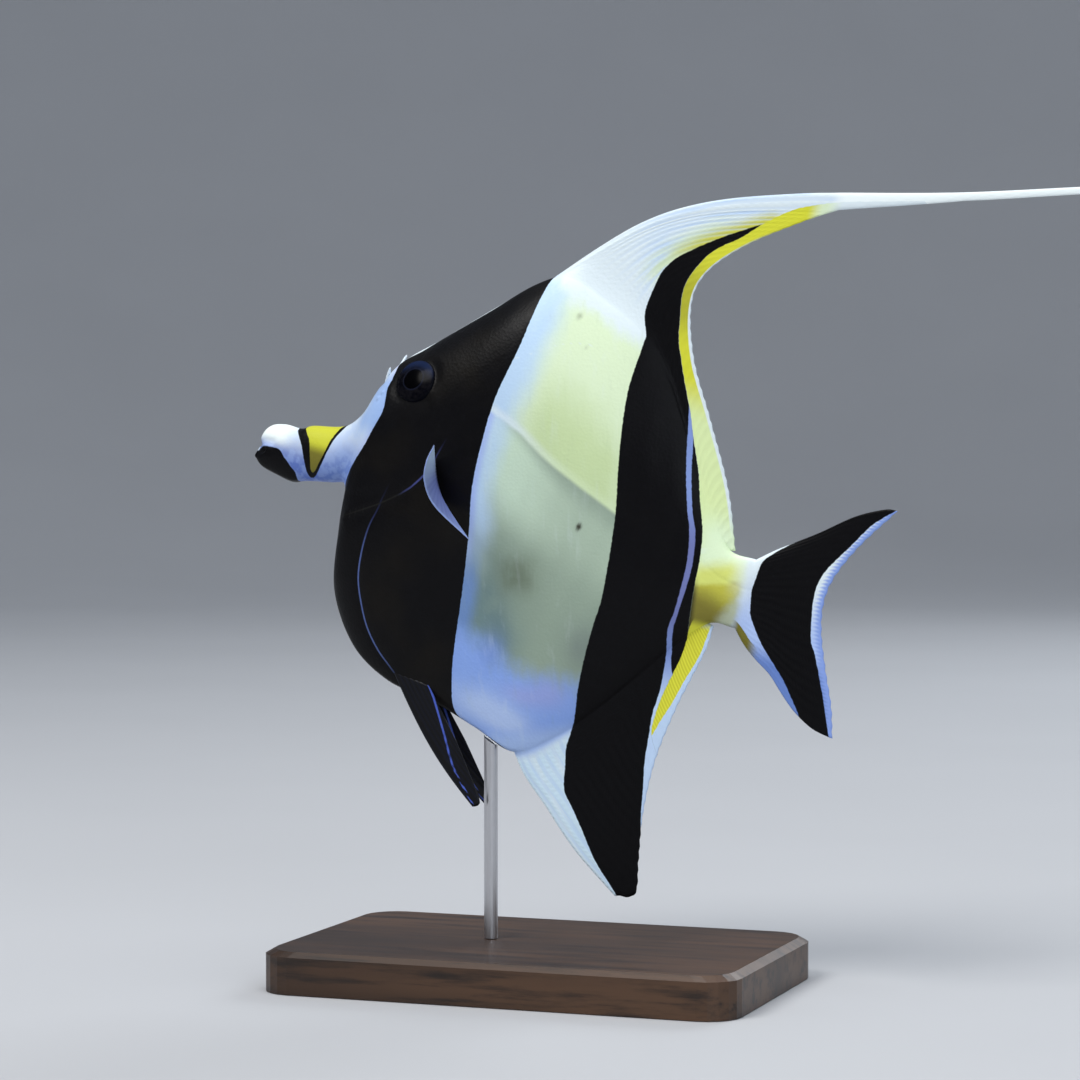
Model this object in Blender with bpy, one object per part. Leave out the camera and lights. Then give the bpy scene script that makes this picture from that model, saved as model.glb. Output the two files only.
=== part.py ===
"""Moorish idol (Zanclus cornutus): a still, life-size model on a plain display stand.

The fish faces -X with its nose pitched up and its left side towards -Y. Shapes are given
in the fish's own frame: s runs back along the body from the snout tip, h runs up across it
and y is the side, all in fractions of the standard length.
"""
import math

import bmesh
import bpy
import numpy as np

STANDARD_LENGTH = 0.155
NOSE_UP = math.radians(14.4)
SNOUT_TIP = (-0.0885, 0.0, 0.1509)
GAP = 0.0003

BACKWARD = np.array([math.cos(NOSE_UP), 0.0, -math.sin(NOSE_UP)])
UPWARD = np.array([math.sin(NOSE_UP), 0.0, math.cos(NOSE_UP)])
ACROSS = np.array([0.0, 1.0, 0.0])

# Body stations from the lips to the tail base: the point on the back (s, h), the point on
# the belly (s, h), half the width, the place of the widest line from belly 0 to back 1,
# and the roundness of the section, 0.5 for an ellipse and 1 for a lens
STATIONS = [
    (-0.002, 0.018, 0.002, -0.006, 0.012, 0.50, 0.50),
    (0.012, 0.058, 0.018, -0.018, 0.021, 0.50, 0.50),
    (0.042, 0.071, 0.048, -0.025, 0.026, 0.50, 0.50),
    (0.078, 0.072, 0.085, -0.030, 0.028, 0.50, 0.50),
    (0.100, 0.083, 0.112, -0.021, 0.030, 0.50, 0.50),
    (0.163, 0.099, 0.160, -0.011, 0.038, 0.50, 0.52),
    (0.200, 0.137, 0.191, -0.006, 0.047, 0.50, 0.54),
    (0.227, 0.205, 0.203, -0.038, 0.058, 0.56, 0.56),
    (0.254, 0.250, 0.206, -0.110, 0.069, 0.62, 0.58),
    (0.309, 0.299, 0.222, -0.210, 0.080, 0.66, 0.60),
    (0.397, 0.380, 0.282, -0.297, 0.087, 0.68, 0.66),
    (0.470, 0.447, 0.364, -0.341, 0.089, 0.69, 0.72),
    (0.530, 0.474, 0.460, -0.354, 0.087, 0.68, 0.78),
    (0.610, 0.449, 0.555, -0.378, 0.081, 0.66, 0.82),
    (0.692, 0.410, 0.640, -0.400, 0.073, 0.62, 0.84),
    (0.753, 0.350, 0.712, -0.350, 0.063, 0.57, 0.84),
    (0.807, 0.270, 0.781, -0.273, 0.051, 0.53, 0.82),
    (0.853, 0.190, 0.840, -0.194, 0.040, 0.51, 0.78),
    (0.899, 0.120, 0.891, -0.124, 0.031, 0.50, 0.72),
    (0.948, 0.070, 0.942, -0.069, 0.023, 0.50, 0.66),
    (1.000, 0.066, 0.992, -0.064, 0.014, 0.50, 0.66),
]
EDGE_HALF_WIDTH = 0.0045

# Places along the body, as station numbers
JAW_END = 3.0
SNOUT_END = 5.5
HEAD_END = 10.0
TRUNK_END = 18.5
DORSAL_START = 11.5
ANAL_START = 14.0
MEDIAN_FIN_END = 19.0
RING_STEP = 0.25

# The closed mouth runs back from the lips, as a share of the snout's height
MOUTH_HEIGHT_AT_LIPS = 0.50
MOUTH_HEIGHT_AT_CHIN = 0.10

# Median fins, from side outlines
DORSAL_LEADING_EDGE = [(0.571, 0.540), (0.635, 0.598), (0.703, 0.642), (0.790, 0.680),
                       (0.914, 0.718), (0.985, 0.736)]
DORSAL_REAR_MARGIN = [(0.990, 0.708), (0.927, 0.670), (0.838, 0.607), (0.779, 0.543),
                      (0.766, 0.479), (0.796, 0.384), (0.853, 0.287), (0.917, 0.174),
                      (0.957, 0.072)]
STREAMER_UPPER_EDGE = [(0.985, 0.736), (1.197, 0.786), (1.400, 0.843), (1.620, 0.905),
                       (1.850, 0.962)]
STREAMER_WIDTHS = (0.028, 0.013, 0.011, 0.007, 0.0035)
STREAMER_LENGTHS = 4
ANAL_LEADING_EDGE = [(0.671, -0.436), (0.723, -0.478), (0.799, -0.541), (0.894, -0.600)]
ANAL_REAR_MARGIN = [(0.930, -0.586), (0.921, -0.524), (0.908, -0.440), (0.906, -0.338),
                    (0.920, -0.239), (0.934, -0.178), (0.948, -0.118), (0.952, -0.072)]
TAIL_UPPER_EDGE = [(1.029, 0.090), (1.062, 0.114), (1.102, 0.143), (1.157, 0.187),
                   (1.206, 0.213), (1.228, 0.217)]
TAIL_LOWER_EDGE = [(1.016, -0.088), (1.044, -0.108), (1.076, -0.127), (1.106, -0.154),
                   (1.137, -0.179), (1.176, -0.199), (1.215, -0.206)]
TAIL_REAR_MARGIN = [(1.228, 0.217), (1.178, 0.141), (1.148, 0.078), (1.139, 0.029),
                    (1.147, -0.024), (1.171, -0.088), (1.199, -0.152), (1.215, -0.206)]
FIN_HALF_THICKNESS = 0.0003

# Paired fins of the left side: root and outer margin as (s, h, y), y in fractions too
PECTORAL_ROOT = [(0.384, 0.086), (0.397, 0.054), (0.411, 0.024)]
PECTORAL_MARGIN = [(0.450, 0.138, -0.272), (0.452, 0.108, -0.296), (0.455, 0.072, -0.290),
                   (0.470, 0.030, -0.250), (0.524, -0.019, -0.184)]
PELVIC_ROOT = [(0.372, -0.332), (0.412, -0.338), (0.452, -0.344)]
PELVIC_ROOT_SIDE = 0.016
PELVIC_MARGIN = [(0.596, -0.516, -0.030), (0.606, -0.510, -0.028), (0.600, -0.492, -0.027),
                 (0.535, -0.412, -0.022)]
PELVIC_LEADING_EDGE_BOW = 0.018

EYE_PLACE = (0.306, 0.222)
EYE_RADIUS = 0.0068
EYE_DEPTH_RADIUS = 0.0036
EYE_PROUD = 0.0013
CHEEK_REACH = 0.030
HORN_PLACE = (0.2275, 0.203)
HORN_LENGTHS = {"left": 0.0046, "right": 0.0088}
HORN_RADIUS = 0.0009
HORN_TAPER = 0.6

BASE_SIZE = (0.140, 0.086, 0.012)
BASE_CORNER_RADIUS = 0.010
BASE_EDGE_BEVEL = 0.0015
ROD_X = -0.0150
ROD_RADIUS = 0.002

COLOURS = {
    "skin_black": (0.012, 0.011, 0.011),
    "skin_pale": (0.72, 0.78, 0.55),
    "skin_white": (0.75, 0.82, 0.88),
    "eye": (0.02, 0.015, 0.012),
    "horn": (0.80, 0.82, 0.80),
    "stand": (0.05, 0.045, 0.04),
    "steel": (0.60, 0.60, 0.62),
}
ROUGHNESS = {"eye": 0.08, "stand": 0.35, "steel": 0.30}
SKIN_ROUGHNESS = 0.45


def clear_scene():
    for thing in list(bpy.data.objects):
        bpy.data.objects.remove(thing, do_unlink=True)


def material(slot):
    found = bpy.data.materials.get(slot)
    if found:
        return found
    made = bpy.data.materials.new(slot)
    made.use_nodes = True
    shader = made.node_tree.nodes["Principled BSDF"]
    shader.inputs["Base Color"].default_value = (*COLOURS[slot], 1.0)
    shader.inputs["Roughness"].default_value = ROUGHNESS.get(slot, SKIN_ROUGHNESS)
    shader.inputs["Metallic"].default_value = 1.0 if slot == "steel" else 0.0
    return made


def to_world(s, h, y):
    """World points of fish-frame arrays s, h and y, all in fractions of the standard length."""
    points = (np.multiply.outer(np.asarray(s, float), BACKWARD)
              + np.multiply.outer(np.asarray(h, float), UPWARD)
              + np.multiply.outer(np.asarray(y, float), ACROSS))
    return np.array(SNOUT_TIP) + points * STANDARD_LENGTH


def smooth_curve(points, places):
    """Rows on a Catmull-Rom curve through points; places count points from 0."""
    known = np.asarray(points, float)
    padded = np.vstack([2 * known[0] - known[1], known, 2 * known[-1] - known[-2]])
    places = np.asarray(places, float)
    index = np.clip(places.astype(int), 0, len(known) - 2)
    f = (places - index)[:, None]
    before, start, end, after = (padded[index + k] for k in range(4))
    return (start + 0.5 * f * (end - before
                               + f * (2 * before - 5 * start + 4 * end - after
                                      + f * (3 * start - before - 3 * end + after))))


def even_curve(points, count):
    """Points evenly spaced by length along the smooth curve through points."""
    fine = smooth_curve(points, np.linspace(0, len(points) - 1, 40 * len(points)))
    steps = np.linalg.norm(np.diff(fine, axis=0), axis=1)
    length = np.concatenate([[0.0], np.cumsum(steps)])
    wanted = np.linspace(0, length[-1], count)
    return np.stack([np.interp(wanted, length, column) for column in fine.T], axis=1)


def section_width(share, row):
    """Half width at a share of the height, 0 at the belly and 1 at the back."""
    half, widest, roundness = row[4], row[5], row[6]
    reach = np.where(share > widest, (share - widest) / (1 - widest), (widest - share) / widest)
    edge = np.minimum(EDGE_HALF_WIDTH, half * 0.45)
    return edge + (half - edge) * np.clip(1 - reach ** 2, 0, 1) ** roundness


def body_ring(station, low=0.0, high=1.0, count=11, shift=0.0):
    """Closed ring of world points across the body; shift moves it back along the body."""
    row = smooth_curve(STATIONS, [station])[0]
    spread = 0.5 - 0.5 * np.cos(np.linspace(0, math.pi, count))
    shares = low + (high - low) * spread
    line = row[2:4] + np.outer(shares, row[0:2] - row[2:4])
    along = (row[0:2] - row[2:4]) / np.linalg.norm(row[0:2] - row[2:4])
    line = line + shift / STANDARD_LENGTH * np.array([along[1], -along[0]])
    width = np.array([section_width(share, row) for share in shares])
    left = to_world(line[:, 0], line[:, 1], -width)
    right = to_world(line[:, 0], line[:, 1], width)
    return np.vstack([left, right[::-1]])


def flank(s, h):
    """Half width of the body, in fractions, where the side view shows the point (s, h)."""
    stations = np.linspace(4, 18, 281)
    shares = np.linspace(0, 1, 101)
    rows = smooth_curve(STATIONS, stations)
    places = rows[:, None, 2:4] + shares[None, :, None] * (rows[:, None, 0:2] - rows[:, None, 2:4])
    near = np.argmin(np.hypot(places[..., 0] - s, places[..., 1] - h))
    i, j = np.unravel_index(near, places.shape[:2])
    return float(section_width(shares[j], rows[i]))


def fin_root(first, last, columns, outward):
    """Root line of a median fin, the gap off the body; outward is 1 on the back, -1 below."""
    line = smooth_curve(STATIONS, stations_between(first, last))[:, columns]
    along = np.gradient(line, axis=0)
    normal = np.stack([-along[:, 1], along[:, 0]], axis=1)
    normal /= np.linalg.norm(normal, axis=1, keepdims=True)
    return line + outward * normal * GAP / STANDARD_LENGTH


def new_object(name, mesh, slot):
    thing = bpy.data.objects.new(name, mesh)
    mesh.materials.append(material(slot))
    bpy.context.scene.collection.objects.link(thing)
    return thing


def finish_mesh(name, bm, slot, smooth_angle=40.0):
    bm.normal_update()
    bmesh.ops.recalc_face_normals(bm, faces=bm.faces)
    mesh = bpy.data.meshes.new(name)
    bm.to_mesh(mesh)
    bm.free()
    mesh.shade_smooth()
    mesh.set_sharp_from_angle(angle=math.radians(smooth_angle))
    return new_object(name, mesh, slot)


def loft(name, rings, slot):
    """Closed solid through rings of equal length."""
    bm = bmesh.new()
    rows = [[bm.verts.new(point) for point in ring] for ring in rings]
    for a, b in zip(rows, rows[1:]):
        for k in range(len(a)):
            n = (k + 1) % len(a)
            bm.faces.new((a[k], a[n], b[n], b[k]))
    ends = [bm.faces.new(rows[0]), bm.faces.new(rows[-1])]
    bmesh.ops.triangulate(bm, faces=ends)
    return finish_mesh(name, bm, slot)


def stations_between(first, last):
    return np.linspace(first, last, round((last - first) / RING_STEP) + 1)


def body_block(name, first, last, slot, low=None, high=None, rows=11):
    """A length of the body from one station to another, less half a gap at each cut end."""
    rings = []
    for station in stations_between(first, last):
        shift = 0.0
        if station == first and first > 0:
            shift = GAP / 2
        if station == last:
            shift = -GAP / 2
        bottom = low(station) if low else 0.0
        top = high(station) if high else 1.0
        rings.append(body_ring(station, bottom, top, rows, shift))
    return loft(name, rings, slot)


def sheet_normals(grid):
    across = np.gradient(grid, axis=0)
    outward = np.gradient(grid, axis=1)
    normal = np.cross(across, outward)
    return normal / np.linalg.norm(normal, axis=2, keepdims=True)


def sheet_solid(name, grid, half_thickness, slot):
    """Closed plate about a grid of world points, of varying half thickness."""
    normal = sheet_normals(grid)
    offset = normal * half_thickness[..., None]
    across, outward = grid.shape[:2]
    bm = bmesh.new()
    sides = [[[bm.verts.new(point) for point in row] for row in grid + sign * offset]
             for sign in (-1, 1)]
    for side in sides:
        for i in range(across - 1):
            for j in range(outward - 1):
                bm.faces.new((side[i][j], side[i + 1][j], side[i + 1][j + 1], side[i][j + 1]))
    border = ([(i, 0) for i in range(across - 1)]
              + [(across - 1, j) for j in range(outward - 1)]
              + [(i, outward - 1) for i in range(across - 1, 0, -1)]
              + [(0, j) for j in range(outward - 1, 0, -1)])
    for (i, j), (k, m) in zip(border, border[1:] + border[:1]):
        bm.faces.new((sides[0][i][j], sides[0][k][m], sides[1][k][m], sides[1][i][j]))
    return finish_mesh(name, bm, slot)


def coons(root, margin, first_edge, last_edge):
    """Grid between four edges: root and margin run across, the other two run outwards."""
    across = np.linspace(0, 1, len(root))[:, None, None]
    outward = np.linspace(0, 1, len(first_edge))[None, :, None]
    return ((1 - outward) * root[:, None] + outward * margin[:, None]
            + (1 - across) * first_edge[None] + across * last_edge[None]
            - (1 - across) * (1 - outward) * root[0] - (1 - across) * outward * margin[0]
            - across * (1 - outward) * root[-1] - across * outward * margin[-1])


def straight(start, end, count):
    return np.asarray(start) + np.linspace(0, 1, count)[:, None] * (np.asarray(end) - start)


def median_fin(name, root, leading_edge, margin, last_edge, slot, steps):
    """Fin in the middle plane, thick at its root and thin at its margin."""
    grid = coons(root, even_curve(margin, len(root)),
                 even_curve([root[0], *leading_edge], steps),
                 even_curve([root[-1], *last_edge], steps))
    outward = np.broadcast_to(np.linspace(0, 1, steps), grid.shape[:2])
    root_half = EDGE_HALF_WIDTH * STANDARD_LENGTH
    half = FIN_HALF_THICKNESS + (root_half - FIN_HALF_THICKNESS) * (1 - outward) ** 2
    points = to_world(grid[..., 0], grid[..., 1], np.zeros(grid.shape[:2]))
    return sheet_solid(name, points, half, slot)


def make_body():
    def mouth(station):
        share = station / JAW_END
        return MOUTH_HEIGHT_AT_LIPS + (MOUTH_HEIGHT_AT_CHIN - MOUTH_HEIGHT_AT_LIPS) * share

    def snout_height(station):
        row = smooth_curve(STATIONS, [station])[0]
        return np.linalg.norm(row[0:2] - row[2:4]) * STANDARD_LENGTH

    def above_mouth(station):
        return mouth(station) + GAP / 2 / snout_height(station)

    def below_mouth(station):
        return mouth(station) - GAP / 2 / snout_height(station)

    body_block("lower_jaw", 0.0, JAW_END, "skin_black", high=below_mouth, rows=7)
    body_block("upper_jaw", 0.0, JAW_END, "skin_white", low=above_mouth, rows=8)
    body_block("snout", JAW_END, SNOUT_END, "skin_white", rows=10)
    head = body_block("head", SNOUT_END, HEAD_END, "skin_black", rows=13)
    body_block("trunk", HEAD_END, TRUNK_END, "skin_pale", rows=13)
    body_block("tail_stalk", TRUNK_END, len(STATIONS) - 1, "skin_pale", rows=9)
    return head


def make_dorsal_fin():
    root = fin_root(DORSAL_START, MEDIAN_FIN_END, slice(0, 2), 1)
    margin = [DORSAL_LEADING_EDGE[-1], *DORSAL_REAR_MARGIN]
    median_fin("dorsal_fin", root, DORSAL_LEADING_EDGE, margin, DORSAL_REAR_MARGIN[-1:],
               "skin_white", 11)


def make_streamer():
    """The long whip of the dorsal fin, in a few lengths joined end to end."""
    steps = 6
    upper = even_curve(STREAMER_UPPER_EDGE, STREAMER_LENGTHS * steps + 1)
    along = np.gradient(upper, axis=0)
    down = np.stack([along[:, 1], -along[:, 0]], axis=1)
    down /= np.linalg.norm(down, axis=1, keepdims=True)
    share = np.linspace(0, 1, len(upper))
    widths = np.interp(share, np.linspace(0, 1, len(STREAMER_WIDTHS)), STREAMER_WIDTHS)
    lower = upper + down * widths[:, None]
    for k in range(STREAMER_LENGTHS):
        piece = slice(k * steps, (k + 1) * steps + 1)
        edges = np.stack([upper[piece], lower[piece]], axis=1)
        start_gap = along[k * steps] / np.linalg.norm(along[k * steps])
        edges[0] += start_gap * GAP / STANDARD_LENGTH
        grid = to_world(edges[..., 0], edges[..., 1], np.zeros(edges.shape[:2]))
        half = np.full(grid.shape[:2], FIN_HALF_THICKNESS)
        sheet_solid(f"dorsal_streamer_{k + 1}", grid, half, "skin_white")


def make_anal_fin():
    root = fin_root(ANAL_START, MEDIAN_FIN_END, slice(2, 4), -1)
    margin = [ANAL_LEADING_EDGE[-1], *ANAL_REAR_MARGIN]
    median_fin("anal_fin", root, ANAL_LEADING_EDGE, margin, ANAL_REAR_MARGIN[-1:],
               "skin_black", 9)


def make_tail_fin():
    end = np.array(STATIONS[-1])
    root = straight(end[0:2], end[2:4], 17) + np.array([GAP / STANDARD_LENGTH, 0.0])
    median_fin("tail_fin", root, TAIL_UPPER_EDGE, TAIL_REAR_MARGIN, TAIL_LOWER_EDGE,
               "skin_black", 11)


def paired_fin(name, root, margin, bow, slot, side):
    """Fan between a root on the body and a margin; bow swells its leading edge forward."""
    rays, steps = 10, 7
    outer = even_curve(margin, rays)
    inner = even_curve(root, rays)
    share = np.linspace(0, 1, steps)
    swell = (np.sin(math.pi * share) * bow)[:, None] * np.array([0.0, -1.0, 0.0])
    leading = straight(inner[0], outer[0], steps) + swell
    trailing = straight(inner[-1], outer[-1], steps)
    grid = coons(inner, outer, leading, trailing)
    outward = np.broadcast_to(share, grid.shape[:2])
    half = FIN_HALF_THICKNESS * (2.0 - outward)
    points = to_world(grid[..., 0], grid[..., 1], -side * grid[..., 2])
    sheet_solid(name, points, half, slot)


def make_paired_fins():
    clear = 2.2 * GAP / STANDARD_LENGTH
    pectoral_root = [(s, h, -flank(s, h) - clear) for s, h in PECTORAL_ROOT]
    pelvic_root = [(s, h - clear, -PELVIC_ROOT_SIDE) for s, h in PELVIC_ROOT]
    for label, side in (("left", -1), ("right", 1)):
        paired_fin(f"pectoral_fin_{label}", pectoral_root, PECTORAL_MARGIN, 0.0,
                   "skin_white", side)
        paired_fin(f"pelvic_fin_{label}", pelvic_root, PELVIC_MARGIN,
                   PELVIC_LEADING_EDGE_BOW, "skin_black", side)


def cheek_axes(side):
    """Unit axes at the eye: back along the cheek, up along it, and straight out of it."""
    s, h = EYE_PLACE
    reach = CHEEK_REACH
    widening_back = (flank(s + reach, h) - flank(s - reach, h)) / (2 * reach)
    widening_up = (flank(s, h + reach) - flank(s, h - reach)) / (2 * reach)
    out = side * ACROSS - widening_back * BACKWARD - widening_up * UPWARD
    out /= np.linalg.norm(out)
    back = BACKWARD - out * (out @ BACKWARD)
    back /= np.linalg.norm(back)
    return back, np.cross(out, back), out


def eyeball(name, side, extra=0.0):
    """Flattened ball, square to the cheek, whose outer face stands a little proud of it."""
    s, h = EYE_PLACE
    back, up, out = cheek_axes(side)
    centre = to_world(s, h, side * flank(s, h)) + out * (EYE_PROUD - EYE_DEPTH_RADIUS)
    bm = bmesh.new()
    bmesh.ops.create_uvsphere(bm, u_segments=16, v_segments=10, radius=1.0)
    for vert in bm.verts:
        vert.co = (centre + (back * vert.co.x + up * vert.co.y) * (EYE_RADIUS + extra)
                   + out * vert.co.z * (EYE_DEPTH_RADIUS + extra))
    return finish_mesh(name, bm, "eye", 80.0)


def cut_sockets(head):
    for label, side in (("left", -1), ("right", 1)):
        cutter = eyeball(f"socket_{label}", side, GAP)
        cutter.hide_render = True
        cutter.display_type = "WIRE"
        cut = head.modifiers.new(f"socket_{label}", "BOOLEAN")
        cut.operation = "DIFFERENCE"
        cut.object = cutter


def make_eyes(head):
    cut_sockets(head)
    for label, side in (("left", -1), ("right", 1)):
        eyeball(f"eye_{label}", side)


def make_horns():
    """Small bony horns in front of the eyes, each with its root cut to the brow."""
    s, h = HORN_PLACE
    radius = HORN_RADIUS / STANDARD_LENGTH
    turns = np.linspace(0, 2 * math.pi, 6, endpoint=False)
    around = [(s + radius * math.cos(a), h + radius * math.sin(a)) for a in turns]
    for label, side in (("left", -1), ("right", 1)):
        widths = [flank(*place) + 3 * GAP / STANDARD_LENGTH for place in around]
        root = np.array([to_world(*place, side * out) for place, out in zip(around, widths)])
        centre = root.mean(axis=0)
        axis = HORN_LENGTHS[label] * (0.94 * UPWARD + 0.02 * BACKWARD + 0.36 * side * ACROSS)
        rings = [root]
        for share in (0.5, 1.0):
            rings.append(centre + share * axis + (root - centre) * (1.0 - HORN_TAPER * share))
        loft(f"horn_{label}", rings, "horn")


def make_base():
    length, width, height = BASE_SIZE
    outline = []
    for turn, (sx, sy) in enumerate(((1, 1), (-1, 1), (-1, -1), (1, -1))):
        for angle in np.linspace(0, math.pi / 2, 6) + turn * math.pi / 2:
            outline.append((sx * (length / 2 - BASE_CORNER_RADIUS)
                            + BASE_CORNER_RADIUS * math.cos(angle),
                            sy * (width / 2 - BASE_CORNER_RADIUS)
                            + BASE_CORNER_RADIUS * math.sin(angle)))
    inset = 1 - 2 * BASE_EDGE_BEVEL / width
    rings = []
    for scale, z in ((1.0, 0.0), (1.0, height - BASE_EDGE_BEVEL), (inset, height)):
        rings.append([(x * scale, y * scale, z) for x, y in outline])
    loft("stand_base", rings, "stand")


def make_rod():
    """Rod from the base to just under the belly, its top cut to the belly's slope."""
    belly = smooth_curve(STATIONS, np.linspace(HEAD_END, ANAL_START, 60))[:, 2:4]
    belly = to_world(belly[:, 0], belly[:, 1], np.zeros(60))
    turns = np.linspace(0, 2 * math.pi, 20, endpoint=False)
    xs = ROD_X + ROD_RADIUS * np.cos(turns)
    ys = ROD_RADIUS * np.sin(turns)
    tops = np.interp(xs, belly[:, 0], belly[:, 2]) - GAP
    foot = [(x, y, BASE_SIZE[2] + GAP) for x, y in zip(xs, ys)]
    loft("stand_rod", [foot, list(zip(xs, ys, tops))], "steel")


def main():
    clear_scene()
    head = make_body()
    make_eyes(head)
    make_horns()
    make_dorsal_fin()
    make_streamer()
    make_anal_fin()
    make_tail_fin()
    make_paired_fins()
    make_base()
    make_rod()


main()
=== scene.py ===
"""Looks of the moorish idol model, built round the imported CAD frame.

Shapes and marks are given in the fish's own frame: s runs back along the body from the
snout tip, h runs up across it and y is the side, all in fractions of the standard length.
Their tables are in thousandths of it.
"""
import math

import bmesh
import bpy
import numpy as np
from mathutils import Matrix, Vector


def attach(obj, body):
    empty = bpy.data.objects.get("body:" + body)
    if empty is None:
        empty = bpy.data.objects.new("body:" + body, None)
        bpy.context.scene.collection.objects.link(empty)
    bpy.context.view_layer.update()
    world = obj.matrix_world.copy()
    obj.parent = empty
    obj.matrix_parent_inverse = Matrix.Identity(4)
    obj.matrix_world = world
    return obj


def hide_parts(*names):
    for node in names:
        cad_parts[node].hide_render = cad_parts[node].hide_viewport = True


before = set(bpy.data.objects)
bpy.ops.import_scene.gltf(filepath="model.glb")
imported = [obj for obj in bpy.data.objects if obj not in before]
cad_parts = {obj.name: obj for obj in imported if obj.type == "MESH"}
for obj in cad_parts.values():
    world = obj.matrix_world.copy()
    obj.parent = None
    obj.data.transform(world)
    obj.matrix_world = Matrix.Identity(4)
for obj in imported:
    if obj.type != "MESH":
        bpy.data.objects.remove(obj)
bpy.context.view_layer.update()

STANDARD_LENGTH = 0.155
MM = 0.001 / STANDARD_LENGTH
NOSE_UP = math.radians(14.4)
SNOUT_TIP = (-0.0885, 0.0, 0.1509)

BACKWARD = np.array([math.cos(NOSE_UP), 0.0, -math.sin(NOSE_UP)])
UPWARD = np.array([math.sin(NOSE_UP), 0.0, math.cos(NOSE_UP)])
ACROSS = np.array([0.0, 1.0, 0.0])


def thousandths(*rows):
    return np.array(rows) / 1000


# Body stations from the lips to the tail base: the point on the back (s, h), the point on
# the belly (s, h), half the width, the place of the widest line from belly 0 to back 1,
# and the roundness of the section, 0.5 for an ellipse and 1 for a lens
STATIONS = thousandths(
    (-2, 18, 2, -6, 12, 500, 500),
    (12, 58, 18, -18, 21, 500, 500),
    (42, 71, 48, -25, 26, 500, 500),
    (78, 72, 85, -30, 28, 500, 500),
    (100, 83, 112, -21, 30, 500, 500),
    (163, 99, 160, -11, 38, 500, 520),
    (200, 137, 191, -6, 47, 500, 540),
    (227, 205, 203, -38, 58, 560, 560),
    (254, 250, 206, -110, 69, 620, 580),
    (309, 299, 222, -210, 80, 660, 600),
    (397, 380, 282, -297, 87, 680, 660),
    (470, 447, 364, -341, 89, 690, 720),
    (530, 474, 460, -354, 87, 680, 780),
    (610, 449, 555, -378, 81, 660, 820),
    (692, 410, 640, -400, 73, 620, 840),
    (753, 350, 712, -350, 63, 570, 840),
    (807, 270, 781, -273, 51, 530, 820),
    (853, 190, 840, -194, 40, 510, 780),
    (899, 120, 891, -124, 31, 500, 720),
    (948, 70, 942, -69, 23, 500, 660),
    (1000, 66, 992, -64, 14, 500, 660))
EDGE_HALF_WIDTH = 0.0045
DORSAL_START = 11.5
ANAL_START = 14.0
MEDIAN_FIN_END = 19.0
BODY_END = 20.0

# Median fins, from side outlines
DORSAL_LEADING_EDGE = thousandths(
    (571, 540), (635, 598), (703, 642), (790, 680), (914, 718), (985, 736))
DORSAL_REAR_MARGIN = thousandths(
    (990, 708), (927, 670), (838, 607), (779, 543), (766, 479), (796, 384), (853, 287), (917, 174),
    (957, 72))
STREAMER_UPPER_EDGE = thousandths((985, 736), (1197, 786), (1400, 843), (1620, 905), (1850, 962))
STREAMER_WIDTHS = thousandths(28, 13, 11, 7, 3.5)
ANAL_LEADING_EDGE = thousandths((671, -436), (723, -478), (799, -541), (894, -600))
ANAL_REAR_MARGIN = thousandths(
    (930, -586), (921, -524), (908, -440), (906, -338), (920, -239), (934, -178), (948, -118),
    (952, -72))
TAIL_UPPER_EDGE = thousandths(
    (1029, 90), (1062, 114), (1102, 143), (1157, 187), (1206, 213), (1228, 217))
TAIL_LOWER_EDGE = thousandths(
    (1016, -88), (1044, -108), (1076, -127), (1106, -154), (1137, -179), (1176, -199), (1215, -206))
TAIL_REAR_MARGIN = thousandths(
    (1228, 217), (1178, 141), (1148, 78), (1139, 29), (1147, -24), (1171, -88), (1199, -152),
    (1215, -206))
FIN_HALF_THICKNESS = 0.24 * MM

# Paired fins of the left side: root and outer margin as (s, h, y)
PECTORAL_ROOT = thousandths((384, 86), (397, 54), (411, 24))
PECTORAL_MARGIN = thousandths(
    (450, 138, -272), (452, 108, -296), (455, 72, -290), (470, 30, -250), (524, -19, -184))
PELVIC_ROOT = thousandths((372, -332), (412, -338), (452, -344))
PELVIC_ROOT_SIDE = 0.016
PELVIC_MARGIN = thousandths((596, -516, -30), (606, -510, -28), (600, -492, -27), (535, -412, -22))
PELVIC_LEADING_EDGE_BOW = 0.018
PELVIC_PALE_LINE = thousandths((440, -310), (467, -343), (504, -400), (540, -457), (583, -500))

# Eyes: place (s, h) and the station beside it, lengths in metres, and for the socket in mm
EYE_PLACE = (0.306, 0.222)
EYE_STATION = 8.9
EYE_RADIUS = 0.0068
EYE_PROUD = 0.0013
EYE_SEGMENTS = (72, 48)
PUPIL_BULGE = 0.15
CHEEK_REACH = 0.030
SOCKET_GAP = 0.45
SOCKET_DEPTH = 3.2
SOCKET_EDGE = (6.5, 9.6)

# Horns: place (s, h) and lengths in metres
HORN_PLACE = (0.2275, 0.203)
HORN_LENGTHS = {"left": 0.0046, "right": 0.0088}
HORN_RADIUS = 0.0011
HORN_ROOT_DEPTH = 0.0012

# Numbers of rows, columns and steps in the meshes
ROWS = 84
CAP_COLUMNS = 8
STREAMER_COLUMNS = 6
STREAMER_STEPS = 110
DORSAL_STEPS = 44
ANAL_STEPS = 32
TAIL_STEPS = 36
COLUMNS_PER_RAY = 4
EDGE_SAMPLES = 400
HORN_RINGS = 18
HORN_SIDES = 20


def to_world(s, h, y):
    """World points of fish-frame arrays s, h and y."""
    points = (np.multiply.outer(np.asarray(s, float), BACKWARD)
              + np.multiply.outer(np.asarray(h, float), UPWARD)
              + np.multiply.outer(np.asarray(y, float), ACROSS))
    return np.array(SNOUT_TIP) + points * STANDARD_LENGTH


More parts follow.
